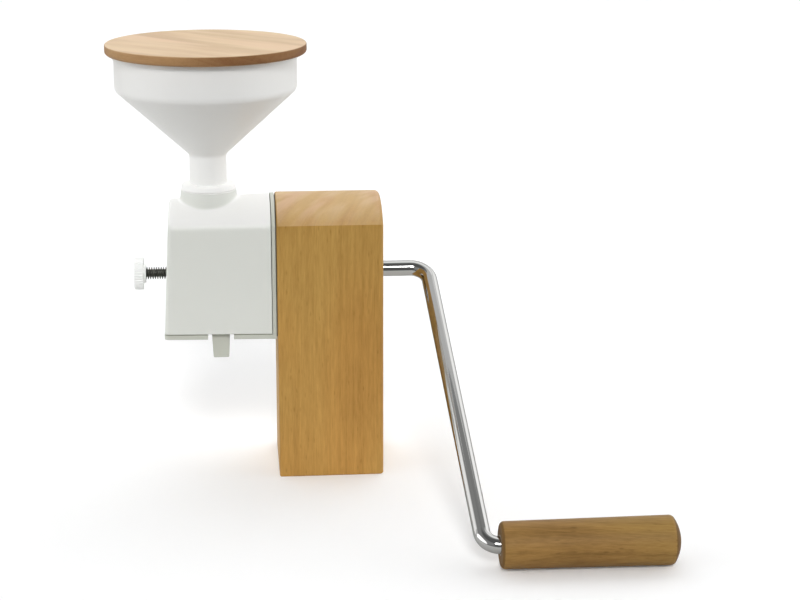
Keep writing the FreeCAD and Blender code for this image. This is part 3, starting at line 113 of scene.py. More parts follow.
class Tree:
    """Places and links the nodes of one node tree."""

    def __init__(self, tree: bpy.types.NodeTree) -> None:
        """Keeps the tree that the nodes go into.

        Args:
            tree: Node tree of a material, a group or the world.
        """
        self.tree = tree
        self.count = 0

    def add(self, kind: str, settings: dict | None = None, **inputs) -> bpy.types.Node:
        """Adds one node, sets its options and feeds its inputs.

        Args:
            kind: Blender's type name, without the ShaderNode prefix where it has one.
            settings: Options of the node, by attribute name.
            **inputs: Values or output sockets, by input name with underscores for spaces.

        Returns:
            The new node.
        """
        name = kind if kind.startswith("Node") else "ShaderNode" + kind
        node = self.tree.nodes.new(name)
        row, column = divmod(self.count, NODES_PER_ROW)
        node.location = (NODE_COLUMN * column, NODE_ROW * row)
        self.count += 1
        for key, value in (settings or {}).items():
            setattr(node, key, value)
        for key, value in inputs.items():
            self.feed(node.inputs[key.replace("_", " ")], value)
        return node

    def feed(self, socket: Socket, value: object) -> None:
        """Links an output socket to an input, or sets the input's value.

        Args:
            socket: Input socket.
            value: Output socket, number, vector or colour.
        """
        if isinstance(value, Socket):
            self.tree.links.new(value, socket)
            return
        if socket.type == "RGBA" and len(value) == 3:
            value = (*value, 1.0)
        socket.default_value = value

    def math(self, operation: str, *values: object, clamp: bool = False) -> Socket:
        """Result of a math node.

        Args:
            operation: Name of the operation.
            *values: Up to three numbers or output sockets.
            clamp: Whether the result is kept between 0 and 1.

        Returns:
            The output socket.
        """
        node = self.add("Math", {"operation": operation, "use_clamp": clamp})
        for socket, value in zip(node.inputs, values):
            self.feed(socket, value)
        return node.outputs[0]

    def vector(self, operation: str, *values: object) -> Socket:
        """Result of a vector math node.

        Args:
            operation: Name of the operation.
            *values: Vectors or output sockets.

        Returns:
            The vector output, or the number output of a dot product, length or distance.
        """
        node = self.add("VectorMath", {"operation": operation})
        for socket, value in zip(node.inputs, values):
            self.feed(socket, value)
        single = operation in ("DOT_PRODUCT", "LENGTH", "DISTANCE")
        return node.outputs["Value" if single else "Vector"]

    def step(self, value: object, low: object, high: object) -> Socket:
        """Smooth step of a value from 0 at low to 1 at high.

        Args:
            value: Number or socket that is tested.
            low: Where the step starts.
            high: Where the step ends.

        Returns:
            The output socket.
        """
        node = self.add("MapRange", {"interpolation_type": "SMOOTHSTEP", "clamp": True},
                        Value=value, From_Min=low, From_Max=high)
        return node.outputs[0]

    def span(self, value: object, low: object, high: object) -> Socket:
        """Value of 0 to 1 stretched to run from low to high.

        Args:
            value: Number or socket from 0 to 1.
            low: Result at 0.
            high: Result at 1.

        Returns:
            The output socket.
        """
        node = self.add("MapRange", {"clamp": True}, Value=value, To_Min=low, To_Max=high)
        return node.outputs[0]

    def mix(self, share: object, first: object, second: object, blend: str = "MIX") -> Socket:
        """Mix of two colours.

        Args:
            share: Share of the second colour.
            first: First colour.
            second: Second colour.
            blend: Name of the blend mode.

        Returns:
            The output socket.
        """
        node = self.add("Mix", {"data_type": "RGBA", "blend_type": blend})
        self.feed(node.inputs[MIX_SHARE], share)
        self.feed(node.inputs[MIX_FIRST], first)
        self.feed(node.inputs[MIX_SECOND], second)
        return node.outputs[MIX_RESULT]

    def grey(self, level: Socket) -> Socket:
        """Grey colour of a level."""
        return self.add("CombineColor", None, Red=level, Green=level, Blue=level).outputs[0]

    def swing(self, value: Socket, reach: object) -> Socket:
        """Value of 0 to 1 turned into a swing about 0, times a reach.

        Args:
            value: Socket from 0 to 1, as noise gives.
            reach: Number or socket that the swing is multiplied by.

        Returns:
            The output socket.
        """
        return self.math("MULTIPLY", self.math("SUBTRACT", value, 0.5), reach)

    def noise(self, place: Socket, noise: Noise) -> bpy.types.Node:
        """Noise over a place that is stretched first.

        Args:
            place: Vector socket, in metres.
            noise: The noise that is wanted.

        Returns:
            The noise node.
        """
        stretched = self.vector("MULTIPLY", place, noise.scale)
        return self.add("TexNoise", None, Vector=stretched, Scale=1.0, Detail=noise.detail,
                        Roughness=noise.rough)

    def level(self, place: Socket, noise: Noise) -> Socket:
        """Level of a noise, 0 to 1, over a place in metres."""
        return self.noise(place, noise).outputs["Fac"]


class Effect(Enum):
    """Shader node groups that more than one finish uses."""

    BEECH = "Beech grain"
    MOULDED = "Moulded skin"
    METAL = "Worked metal"


GROUP_SOCKETS = {
    Effect.BEECH: (
        ("Place", "Vector"), ("Pale", "Color"), ("Dark", "Color"), ("Blush", "Color"),
        ("Ring Width", "Float"), ("Pith Distance", "Float"), ("Ring Contrast", "Float"),
        ("Streak Contrast", "Float"), ("Band Contrast", "Float"), ("Fleck Amount", "Float"),
        ("Figure", "Float"), ("Sheen Roughness", "Float"), ("Facing", "Vector"),
        # Top, Top Blush and Top Share carry the painted top light and sheen on faces that look up.
        ("Fibre", "Vector"), ("End Shade", "Float"), ("Top", "Color"), ("Top Blush", "Color"),
        ("Top Share", "Float"),
    ),
    Effect.MOULDED: (
        ("Place", "Vector"), ("Tint", "Color"), ("Mottle", "Float"),
        ("Base Roughness", "Float"), ("Grain Size", "Float"),
    ),
    Effect.METAL: (
        ("Place", "Vector"), ("Tint", "Color"), ("Line Scale", "Vector"),
        ("Line Contrast", "Float"), ("Base Roughness", "Float"), ("Stain", "Float"),
    ),
}


@dataclass(frozen=True)
class BeechPattern:
    """Fixed numbers of the beech pattern, whose Z runs along the fibres.

    A pair named edge, rise or fall is where a smooth step starts and ends.
    """

    sway: Noise = Noise((11.0, 11.0, 3.5), 2.0, 0.45)
    sway_reach: Triple = (0.009, 0.009, 0.0)
    uneven_scale: float = 0.6
    uneven_detail: float = 2.0
    uneven_reach: float = 3.0
    late_rise: Pair = (0.15, 0.85)
    late_fall: Pair = (0.88, 1.0)
    ring_middle: float = 0.4
    end_edge: Pair = (0.35, 0.88)
    # Painted top light: how far a face must look up to take it.
    painted_top_light_edge: Pair = (0.50, 0.97)
    wide: Noise = Noise((130.0, 130.0, 9.0), 3.0, 0.6)
    coarse: Noise = Noise((480.0, 480.0, 42.0), 3.0, 0.6)
    fine: Noise = Noise((1500.0, 1500.0, 110.0), 2.0, 0.6)
    wide_share: float = 0.18
    coarse_share: float = 0.42
    fine_share: float = 0.40
    end_streak: float = -0.45
    broad: Noise = Noise((34.0, 34.0, 6.0))
    cloud: Noise = Noise((19.0, 19.0, 13.0))
    cloud_edge: Pair = (0.52, 0.72)
    fleck_scale: Triple = (560.0, 560.0, 150.0)
    fleck_edge: Pair = (0.0, 0.42)
    chosen_edge: Pair = (0.60, 1.0)
    end_fleck: float = -0.7
    middle_depth: float = 0.42
    blush: Noise = Noise((15.0, 15.0, 6.0), 1.0)
    blush_edge: Pair = (0.40, 0.68)
    # Slanting strokes and pink patches of the painted top light and sheen.
    stroke_turn: float = -60.0
    stroke: Noise = Noise((26.0, 95.0, 7.0), 3.0)
    stroke_edge: Pair = (0.38, 0.60)
    stroke_strength: Pair = (0.66, 1.08)
    pink: Noise = Noise((40.0, 70.0, 8.0), 1.0)
    pink_edge: Pair = (0.44, 0.64)
    fine_roughness: float = 0.25
    end_roughness: float = 0.12
    fleck_roughness: float = 0.1
    coarse_relief: float = 0.4


@dataclass(frozen=True)
class MouldedPattern:
    """Fixed numbers of the moulded skin."""

    cloud: Noise = Noise((38.0, 38.0, 24.0), 3.0, 0.55)
    skin_detail: float = 2.0
    skin_rough: float = 0.6
    dimple: Noise = Noise((70.0, 70.0, 70.0), 1.0, 0.4)
    skin_roughness: float = 0.16
    cloud_roughness: float = 0.10
    dimple_relief: float = 3.0
    skin_relief: float = 0.5


@dataclass(frozen=True)
class MetalPattern:
    """Fixed numbers of worked metal."""

    line_detail: float = 3.0
    line_rough: float = 0.65
    hair: Noise = Noise((900.0, 900.0, 900.0), 1.0)
    hair_width: float = 0.012
    hair_field: Noise = Noise((160.0, 160.0, 160.0), 1.0)
    hair_field_edge: Pair = (0.55, 0.7)
    film: Noise = Noise((55.0, 55.0, 55.0))
    film_edge: Pair = (0.5, 0.75)
    line_roughness: float = 0.6
    stain_roughness: float = 0.5
    scratch_roughness: float = 0.12
    scratch_relief: float = 0.5


BEECH = BeechPattern()
MOULDED = MouldedPattern()
METAL = MetalPattern()


def beech_rings(nodes: Tree, given: Sockets, swayed: Socket) -> Socket:
    """Year rings about a pith line along Z.

    The distance from the line, divided by the ring width and pushed about by noise, is cut
    down to its fraction. The wood darkens slowly through each ring and clears quickly at its end.

    Args:
        nodes: The group's node tree.
        given: Outputs of its input node.
        swayed: The place, pushed about across the fibres.

    Returns:
        How much darker the wood is, as a socket.
    """
    split = nodes.add("SeparateXYZ", None, Vector=swayed)
    away = nodes.math("ADD", split.outputs["X"], given["Pith Distance"])
    squares = nodes.math("ADD", nodes.math("POWER", away, 2.0),
                         nodes.math("POWER", split.outputs["Y"], 2.0))
    count = nodes.math("DIVIDE", nodes.math("SQRT", squares), given["Ring Width"])
    uneven = nodes.add("TexNoise", {"noise_dimensions": "1D"}, W=count,
                       Scale=BEECH.uneven_scale, Detail=BEECH.uneven_detail)
    count = nodes.math("MULTIPLY_ADD", uneven.outputs["Fac"], BEECH.uneven_reach, count)
    share = nodes.math("FRACT", count)
    late = nodes.math("MULTIPLY", nodes.step(share, *BEECH.late_rise),
                      nodes.math("SUBTRACT", 1.0, nodes.step(share, *BEECH.late_fall)))
    return nodes.math("MULTIPLY", nodes.math("SUBTRACT", late, BEECH.ring_middle),
                      given["Ring Contrast"])


def beech_flecks(nodes: Tree, given: Sockets, end: Socket) -> Socket:
    """Flecks: thin spindles along Z, fewer on end grain.

    They are the middles of the cells of a stretched Voronoi pattern, where the cell's random
    number is high.

    Args:
        nodes: The group's node tree.
        given: Outputs of its input node.
        end: Share of end grain.

    Returns:
        How much darker the wood is, as a socket.
    """
    stretched = nodes.vector("MULTIPLY", given["Place"], BEECH.fleck_scale)
    cells = nodes.add("TexVoronoi", {"feature": "F1"}, Scale=1.0, Randomness=1.0, Vector=stretched)
    distance = nodes.step(cells.outputs["Distance"], *BEECH.fleck_edge)
    spindle = nodes.math("SUBTRACT", 1.0, distance)
    random = nodes.add("SeparateColor", None, Color=cells.outputs["Color"]).outputs["Red"]
    chosen = nodes.math("MULTIPLY", nodes.step(random, *BEECH.chosen_edge),
                        nodes.math("MULTIPLY_ADD", end, BEECH.end_fleck, 1.0))
    return nodes.math("MULTIPLY", nodes.math("MULTIPLY", spindle, chosen), given["Fleck Amount"])


def beech_painted_top_light(nodes: Tree, given: Sockets, colour: Socket) -> Socket:
    """Bleaches the faces that look up, in slanting strokes of a stretched noise.

    Args:
        nodes: The group's node tree.
        given: Outputs of its input node.
        colour: Colour of the wood without the painted top light.

    Returns:
        The colour as a socket.
    """
    up = nodes.add("SeparateXYZ", None, Vector=given["Facing"]).outputs["Z"]
    top = nodes.step(up, *BEECH.painted_top_light_edge)
    turned = nodes.add("VectorRotate", {"rotation_type": "Z_AXIS"}, Vector=given["Place"],
                       Angle=math.radians(BEECH.stroke_turn)).outputs["Vector"]
    stroke = nodes.step(nodes.level(turned, BEECH.stroke), *BEECH.stroke_edge)
    # Share of painted top light: faces that look up, in strokes.
    lifted = nodes.math("MULTIPLY", nodes.math("MULTIPLY", top, given["Top Share"]),
                        nodes.span(stroke, *BEECH.stroke_strength))
    pink = nodes.step(nodes.level(turned, BEECH.pink), *BEECH.pink_edge)
    return nodes.mix(lifted, colour, nodes.mix(pink, given["Top"], given["Top Blush"]))


class EffectShop:
    """Builds each shader node group once and hands it out."""

    def __init__(self) -> None:
        """Starts with no group built."""
        self.made: dict[Effect, bpy.types.NodeTree] = {}

    def get(self, effect: Effect) -> bpy.types.NodeTree:
        """Node group of an effect, built at its first use.

        Args:
            effect: The effect that is wanted.

        Returns:
            The shader node tree.
        """
        if effect not in self.made:
            tree = bpy.data.node_groups.new(effect.value, "ShaderNodeTree")
            for name, kind in GROUP_SOCKETS[effect]:
                tree.interface.new_socket(name, in_out="INPUT", socket_type="NodeSocket" + kind)
            for name, kind in (("Color", "Color"), ("Roughness", "Float"), ("Height", "Float")):
                tree.interface.new_socket(name, in_out="OUTPUT", socket_type="NodeSocket" + kind)
            nodes = Tree(tree)
            given = nodes.add("NodeGroupInput").outputs
            result = nodes.add("NodeGroupOutput").inputs
            build = {
                Effect.BEECH: self.beech,
                Effect.MOULDED: self.moulded,
                Effect.METAL: self.metal,
            }[effect]
            colour, roughness, height = build(nodes, given)
            nodes.feed(result["Color"], colour)
            nodes.feed(result["Roughness"], roughness)
            nodes.feed(result["Height"], height)
            self.made[effect] = tree
        return self.made[effect]

    @staticmethod
    def beech(nodes: Tree, given: Sockets) -> tuple[Socket, Socket, Socket]:
        """Beech, with its fibres along Z of the place it is given.

        Streaks of three widths are noise stretched along Z, and so are the broad bands and the
        wide clouds of the figure. Rings, streaks, bands, figure and flecks add up to a depth
        that mixes the pale and the dark colour. Where a face looks along the fibres, the end
        shade is added and streaks and flecks grow weaker.

        Args:
            nodes: The group's node tree.
            given: Outputs of its input node.

        Returns:
            Sockets of colour, roughness and height.
        """
        place = given["Place"]
        push = nodes.noise(place, BEECH.sway).outputs["Color"]
        sway = nodes.vector("SUBTRACT", push, (0.5, 0.5, 0.5))
        swayed = nodes.vector("ADD", place, nodes.vector("MULTIPLY", sway, BEECH.sway_reach))
        facing = nodes.math("ABSOLUTE", nodes.vector("DOT_PRODUCT", given["Facing"], given["Fibre"]))
        end = nodes.step(facing, *BEECH.end_edge)

        coarse = nodes.level(swayed, BEECH.coarse)
        fine = nodes.level(swayed, BEECH.fine)
        streak = nodes.math("MULTIPLY_ADD", coarse, BEECH.coarse_share,
                            nodes.math("MULTIPLY", fine, BEECH.fine_share))
        streak = nodes.math("MULTIPLY_ADD", nodes.level(swayed, BEECH.wide), BEECH.wide_share, streak)
        streak = nodes.math("MULTIPLY", nodes.swing(streak, given["Streak Contrast"]),
                            nodes.math("MULTIPLY_ADD", end, BEECH.end_streak, 1.0))
        band = nodes.swing(nodes.level(swayed, BEECH.broad), given["Band Contrast"])
        cloud = nodes.step(nodes.level(place, BEECH.cloud), *BEECH.cloud_edge)
        figure = nodes.math("MULTIPLY", cloud, given["Figure"])
        fleck = beech_flecks(nodes, given, end)

        depth = nodes.math("ADD", beech_rings(nodes, given, swayed), streak)
        depth = nodes.math("ADD", depth, nodes.math("ADD", band, figure))
        depth = nodes.math("MULTIPLY_ADD", end, given["End Shade"], nodes.math("ADD", depth, fleck))
        depth = nodes.math("ADD", depth, BEECH.middle_depth, clamp=True)
        blush = nodes.step(nodes.level(place, BEECH.blush), *BEECH.blush_edge)
        pale = nodes.mix(blush, given["Pale"], given["Blush"])
        # Painted top light and sheen over the wood's colour on faces that look up.
        colour = beech_painted_top_light(nodes, given, nodes.mix(depth, pale, given["Dark"]))

        rough = nodes.math("ADD", nodes.swing(fine, BEECH.fine_roughness), given["Sheen Roughness"])
        rough = nodes.math("MULTIPLY_ADD", fleck, BEECH.fleck_roughness, rough)
        rough = nodes.math("MULTIPLY_ADD", end, BEECH.end_roughness, rough)
        height = nodes.math("MULTIPLY_ADD", coarse, BEECH.coarse_relief, fine)
        height = nodes.math("SUBTRACT", height, fleck)
        return colour, rough, height

    @staticmethod
    def moulded(nodes: Tree, given: Sockets) -> tuple[Socket, Socket, Socket]:
        """Satin moulded plastic: faint flow clouds, a fine eroded skin and a few soft dimples.

        Clouds are wide noise, the skin is noise at the grain size, and the roughness rises
        a little where the clouds are light.

        Args:
            nodes: The group's node tree.
            given: Outputs of its input node.

        Returns:
            Sockets of colour, roughness and height.
        """
        place = given["Place"]
        cloud = nodes.level(place, MOULDED.cloud)
        scale = nodes.math("DIVIDE", 1.0, given["Grain Size"])
        sized = nodes.add("VectorMath", {"operation": "SCALE"}, Vector=place, Scale=scale).outputs[0]
        skin = nodes.add("TexNoise", None, Vector=sized, Scale=1.0, Detail=MOULDED.skin_detail,
                         Roughness=MOULDED.skin_rough).outputs["Fac"]
        level = nodes.math("ADD", 1.0, nodes.swing(cloud, given["Mottle"]))
        colour = nodes.mix(1.0, given["Tint"], nodes.grey(level), "MULTIPLY")
        rough = nodes.math("ADD", nodes.swing(skin, MOULDED.skin_roughness), given["Base Roughness"])
        rough = nodes.math("ADD", nodes.swing(cloud, MOULDED.cloud_roughness), rough)
        height = nodes.math("MULTIPLY_ADD", nodes.level(place, MOULDED.dimple), MOULDED.dimple_relief,
                            nodes.math("MULTIPLY", skin, MOULDED.skin_relief))
        return colour, rough, height

    @staticmethod
    def metal(nodes: Tree, given: Sockets) -> tuple[Socket, Socket, Socket]:
        """Worked metal: fine tool or polishing lines, sparse scratches and faint stains.

        Lines are noise stretched by the line scale. Scratches are the thin parts of a ridged
        noise where a wide mask allows them. Stains are soft clouds, darker and rougher.

        Args:
            nodes: The group's node tree.
            given: Outputs of its input node.

        Returns:
            Sockets of colour, roughness and height.
        """
        place = given["Place"]
        lines = nodes.level(place, Noise(given["Line Scale"], METAL.line_detail, METAL.line_rough))
        line = nodes.math("SUBTRACT", lines, 0.5)
        ridge = nodes.math("ABSOLUTE", nodes.math("SUBTRACT", nodes.level(place, METAL.hair), 0.5))
        where = nodes.step(nodes.level(place, METAL.hair_field), *METAL.hair_field_edge)
        hair = nodes.math("SUBTRACT", 1.0, nodes.step(ridge, 0.0, METAL.hair_width))
        scratch = nodes.math("MULTIPLY", hair, where)
        film = nodes.step(nodes.level(place, METAL.film), *METAL.film_edge)
        stain = nodes.math("MULTIPLY", film, given["Stain"])
        level = nodes.math("SUBTRACT", 1.0, stain)
        level = nodes.math("MULTIPLY_ADD", line, given["Line Contrast"], level)
        colour = nodes.mix(1.0, given["Tint"], nodes.grey(level), "MULTIPLY")
        swing = nodes.math("MULTIPLY", given["Line Contrast"], METAL.line_roughness)
        rough = nodes.math("MULTIPLY_ADD", line, swing, given["Base Roughness"])
        rough = nodes.math("MULTIPLY_ADD", stain, METAL.stain_roughness, rough)
        rough = nodes.math("MULTIPLY_ADD", scratch, METAL.scratch_roughness, rough)
        height = nodes.math("SUBTRACT", line, nodes.math("MULTIPLY", scratch, METAL.scratch_relief))
        return colour, rough, height


EFFECTS = EffectShop()


@dataclass(frozen=True)
class Setting:
    """Where a pattern sits on its piece: its centre in metres, and its axes' turns in degrees."""

    centre: Triple = (0.0, 0.0, 0.0)
    turn: Triple = (0.0, 0.0, 0.0)

    def place(self, nodes: Tree) -> Socket:
        """Object coordinates, moved to the centre and turned.

        Args:
            nodes: Node tree of the material.

        Returns:
            The vector socket.
        """
        coordinates = nodes.add("TexCoord").outputs["Object"]
        mapping = nodes.add("Mapping", {"vector_type": "TEXTURE"}, Vector=coordinates,
                            Location=self.centre,
                            Rotation=tuple(math.radians(angle) for angle in self.turn))
        return mapping.outputs[0]


@dataclass(frozen=True)
class Finish:
    """Common part of every finish.

    It holds the name, the pattern's setting on the piece, and the radius of the softened edges
    and the depth of the relief, both in metres.
    """

    name: str
    setting: Setting = Setting()
    edge_round: float = 0.0003
    edge_samples: int = 6
    relief: float = 0.00002

    def start(self) -> tuple[bpy.types.Material, Tree]:
        """Empty material with its node tree.

        Returns:
            The material and the tree to build in.
        """
        material = bpy.data.materials.new(self.name)
        material.use_nodes = True
        material.node_tree.nodes.clear()
        return material, Tree(material.node_tree)

    def end(self, nodes: Tree, skin: bpy.types.Node, shader: bpy.types.Node) -> None:
        """Feeds an effect group into the shader and the shader into the output.

        Args:
            nodes: Node tree of the material.
            skin: Effect group node with colour, roughness and height.
            shader: Principled shader node.
        """
        nodes.feed(shader.inputs["Base Color"], skin.outputs["Color"])
        nodes.feed(shader.inputs["Roughness"], skin.outputs["Roughness"])
        soft = nodes.add("Bevel", {"samples": self.edge_samples}, Radius=self.edge_round)
        bump = nodes.add("Bump", None, Strength=1.0, Distance=self.relief,
                         Height=skin.outputs["Height"], Normal=soft.outputs[0])
        nodes.feed(shader.inputs["Normal"], bump.outputs[0])
        out = nodes.add("OutputMaterial", {"is_active_output": True})
        nodes.feed(out.inputs["Surface"], shader.outputs[0])


@dataclass(frozen=True)
class BeechFinish(Finish):
    """Oiled or sanded beech.

    The ring width and the pith's distance are in metres, and the fibre is the unit vector along
    the grain. The end shade darkens end grain, and the top share paints faces that look up
    lighter, as painted top light and sheen.
    """

    pale: Colour = linear(206, 165, 89)
    dark: Colour = linear(141, 100, 40)
    blush: Colour = linear(208, 157, 81)
    ring_width: float = 0.0042
    pith_distance: float = 0.13
    ring_contrast: float = 0.10
    streak_contrast: float = 1.25
    band_contrast: float = 0.45
    fleck: float = 0.30
    figure: float = 0.14
    fibre: Triple = (0.0, 0.0, 1.0)
    end_shade: float = 0.0
    # Colours and share of the painted top light and sheen on faces that look up.
    top: Colour = linear(225, 199, 162)
    painted_top_light_blush: Colour = linear(222, 190, 160)
    painted_top_light_share: float = 0.0
    roughness: float = 0.48
    ior: float = 1.46
    gloss: float = 0.35

    def make(self) -> bpy.types.Material:
        """Builds the material.

        Returns:
            The new material.
        """
        material, nodes = self.start()
        facing = nodes.add("TexCoord").outputs["Normal"]
        skin = nodes.add(
            "Group", {"node_tree": EFFECTS.get(Effect.BEECH)}, Place=self.setting.place(nodes),
            Pale=self.pale, Dark=self.dark, Blush=self.blush, Ring_Width=self.ring_width,
            Pith_Distance=self.pith_distance, Ring_Contrast=self.ring_contrast,
            Streak_Contrast=self.streak_contrast, Band_Contrast=self.band_contrast,
            Fleck_Amount=self.fleck, Figure=self.figure, Sheen_Roughness=self.roughness,
            Facing=facing, Fibre=self.fibre, End_Shade=self.end_shade, Top=self.top,
            Top_Blush=self.painted_top_light_blush, Top_Share=self.painted_top_light_share)
        shader = nodes.add("BsdfPrincipled")
        shader.inputs["IOR"].default_value = self.ior
        shader.inputs["Specular IOR Level"].default_value = self.gloss
        self.end(nodes, skin, shader)
        return material


@dataclass(frozen=True)
class PlasticFinish(Finish):
    """Satin moulded plastic: painted top light where it looks up, and painted shade past a place
    along X.

    Both are left out where they are None. The grain, the place where the painted shade starts
    and the painted shade's edge about it are in metres.
    """

    tint: Colour = linear(235, 236, 233)
    mottle: float = 0.03
    grain: float = 0.00045
    # Colour of the painted top light on faces that look up, and where those faces start.
    top: Colour | None = None
    painted_top_light_edge: Pair = (0.20, 0.75)
    # Colour, start, edge, clouds and strength of the painted shade in the groove at the block.
    gap_shade: Colour = linear(66, 52, 36)
    gap_shade_from: float | None = None
    gap_shade_edge: Pair = (-0.00015, 0.00005)
    gap_shade_clouds: Noise = Noise((45.0, 45.0, 45.0))
    gap_shade_strength: Pair = (0.35, 1.25)
    roughness: float = 0.42
    ior: float = 1.5
    gloss: float = 0.45

    def make(self) -> bpy.types.Material:
        """Builds the material.

        Returns:
            The new material.
        """
        material, nodes = self.start()
        place = self.setting.place(nodes)
        tint: object = self.tint
        # Painted top light: faces that look up take the lighter colour.
        if self.top is not None:
            facing = nodes.add("SeparateXYZ", None, Vector=nodes.add("TexCoord").outputs["Normal"])
            tint = nodes.mix(nodes.step(facing.outputs["Z"], *self.painted_top_light_edge), self.tint, self.top)
        # Painted shade in the groove at the block: the tint darkens past a place along X, in soft
        # clouds.
        if self.gap_shade_from is not None:
            along = nodes.add("SeparateXYZ", None, Vector=place).outputs["X"]
            past = nodes.step(along, *(self.gap_shade_from + reach for reach in self.gap_shade_edge))
            gap_shade_amount = nodes.span(nodes.level(place, self.gap_shade_clouds), *self.gap_shade_strength)
            tint = nodes.mix(nodes.math("MULTIPLY", past, gap_shade_amount, clamp=True), tint, self.gap_shade)
        skin = nodes.add(
            "Group", {"node_tree": EFFECTS.get(Effect.MOULDED)}, Place=place, Tint=tint,
            Mottle=self.mottle, Base_Roughness=self.roughness, Grain_Size=self.grain)
        shader = nodes.add("BsdfPrincipled")
        shader.inputs["IOR"].default_value = self.ior
        shader.inputs["Specular IOR Level"].default_value = self.gloss
        self.end(nodes, skin, shader)
        return material


@dataclass(frozen=True)
class MetalFinish(Finish):
    """Plated, ground, turned or blackened metal; the rim is its brightness at a grazing angle."""

    tint: Colour = (0.7, 0.7, 0.72)
    line_scale: Triple = (600.0, 600.0, 600.0)
    line_contrast: float = 0.15
    roughness: float = 0.25
    stain: float = 0.04
    rim: float = 1.0

    def make(self) -> bpy.types.Material:
        """Builds the material.

        Returns:
            The new material.
        """
        material, nodes = self.start()
        skin = nodes.add(
            "Group", {"node_tree": EFFECTS.get(Effect.METAL)}, Place=self.setting.place(nodes),
            Tint=self.tint, Line_Scale=self.line_scale, Line_Contrast=self.line_contrast,
            Base_Roughness=self.roughness, Stain=self.stain)
        shader = nodes.add("BsdfPrincipled")
        shader.inputs["Metallic"].default_value = 1.0
        shader.inputs["Specular Tint"].default_value = (self.rim, self.rim, self.rim, 1.0)
        self.end(nodes, skin, shader)
        return material


def dress(material: bpy.types.Material, *names: str) -> None:
    """Gives CAD nodes a material.

    Args:
        material: The finish they get.
        *names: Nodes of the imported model.
    """
    for name in names:
        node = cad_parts[name]
        node.data.materials.clear()
        node.data.materials.append(material)
        LOG.info("dressed %s in %s", name, material.name)


def grid_mesh(name: str, points: np.ndarray, material: bpy.types.Material) -> bpy.types.Object:
    """Closed smooth tube from a grid of points: rows along it, columns round it, a pole at each end.

    Point (i, j) is joined to (i, j + 1), wrapping round, and to (i + 1, j). The first and the
    last row are points that all fall together and become one pole vertex each.

    Args:
        name: Name of the new piece.
        points: Array of rows x columns x 3, in metres, turning right-handed about the way along.
        material: Its finish.

    Returns:
        The new object, at the origin.
    """
    rows, columns, _ = points.shape
    ring = points[1:-1].reshape(-1, 3)
    vertices = np.concatenate([points[0, :1], ring, points[-1, :1]])
    index = 1 + np.arange((rows - 2) * columns).reshape(rows - 2, columns)
    after = np.roll(index, -1, axis=1)
    quads = np.stack([index[:-1], after[:-1], after[1:], index[1:]], axis=-1).reshape(-1, 4)
    start = np.stack([np.zeros(columns, int), after[0], index[0]], axis=-1)
    last = len(vertices) - 1
    end = np.stack([np.full(columns, last), index[-1], after[-1]], axis=-1)
    mesh = bpy.data.meshes.new(name)
    mesh.from_pydata(vertices.tolist(), [], quads.tolist() + start.tolist() + end.tolist())
    mesh.polygons.foreach_set("use_smooth", np.full(len(mesh.polygons), True))
    mesh.materials.append(material)
    mesh.update()
    piece = bpy.data.objects.new(name, mesh)
    bpy.context.scene.collection.objects.link(piece)
    LOG.info("made %s in %s", name, material.name)
    return piece


@dataclass
class WoodenPost:
    """The beech block that carries everything: sharp at the roller unit, rounded at the crank."""

    node: str = "wooden_block"
    pattern: Setting = Setting(centre=(0.012, 0.004, 0.03), turn=(0, 0, -15))

    def dress(self) -> None:
        """Upright grain, rings nearly square to the front."""
        # The top share paints the block's top lighter, as painted top light and sheen.
        beech = BeechFinish("Beech block", self.pattern, painted_top_light_share=0.62)
        dress(beech.make(), self.node)


@dataclass
class CrankHandle:
    """Bright rod through the block, with the turned grip on its end."""

    rod: str = "crank_rod"
    grip: str = "wooden_grip"
    grip_pattern: Setting = Setting(centre=(0.14, -0.19, 0.014), turn=(0, 90, -6))

    def dress(self) -> None:
        """Chrome rod, darker beech grip with its grain along it."""
        chrome = MetalFinish("Bright chrome", relief=0.000004, tint=(0.52, 0.52, 0.51),
                             line_scale=(300, 300, 300), line_contrast=0.03, roughness=0.05,
                             stain=0.02, rim=0.40)
        dress(chrome.make(), self.rod)
        beech = BeechFinish("Beech grip", self.grip_pattern, pale=linear(173, 138, 73),
                            dark=linear(106, 76, 31), blush=linear(167, 127, 68),
                            ring_width=0.0070, pith_distance=0.045, ring_contrast=0.12,
                            streak_contrast=1.5, band_contrast=0.5, fleck=0.3,
                            fibre=(1.0, 0.0, 0.0), end_shade=1.1, roughness=0.58)
        dress(beech.make(), self.grip)


@dataclass
class Fittings:
    """Bushes, rings, screws and nuts, mostly hidden in the block, the grip and the roller unit."""

    steel: tuple[str, ...] = ("retaining_ring", "thrust_washer", "drive_coupling", "coupling_pin",
                              "grip_clip", "frame_screws", "plate_screws", "upper_axle",
                              "lower_axle", "axle_nuts")
    plastic: tuple[str, ...] = ("grip_sleeve", "roller_bush_right", "roller_bush_left",
                                "upper_idler_bushes", "lower_idler_bushes")
    bronze: tuple[str, ...] = ("shaft_bush_right", "shaft_bush_left")

    def dress(self) -> None:
        """Zinc plated steel, brown bearing plastic and sintered bronze."""
        zinc = MetalFinish("Zinc plated steel", tint=(0.62, 0.63, 0.64),
                           line_scale=(900, 300, 300), line_contrast=0.12, roughness=0.3,
                           stain=0.08)
        dress(zinc.make(), *self.steel)
        natural = PlasticFinish("Bearing plastic", tint=linear(120, 104, 84), roughness=0.5)
        dress(natural.make(), *self.plastic)
        bronze = MetalFinish("Sintered bronze", relief=0.00003, tint=(0.60, 0.42, 0.22),
                             line_scale=(2500, 2500, 2500), line_contrast=0.35, roughness=0.45,
                             stain=0.15)
        dress(bronze.make(), *self.bronze)


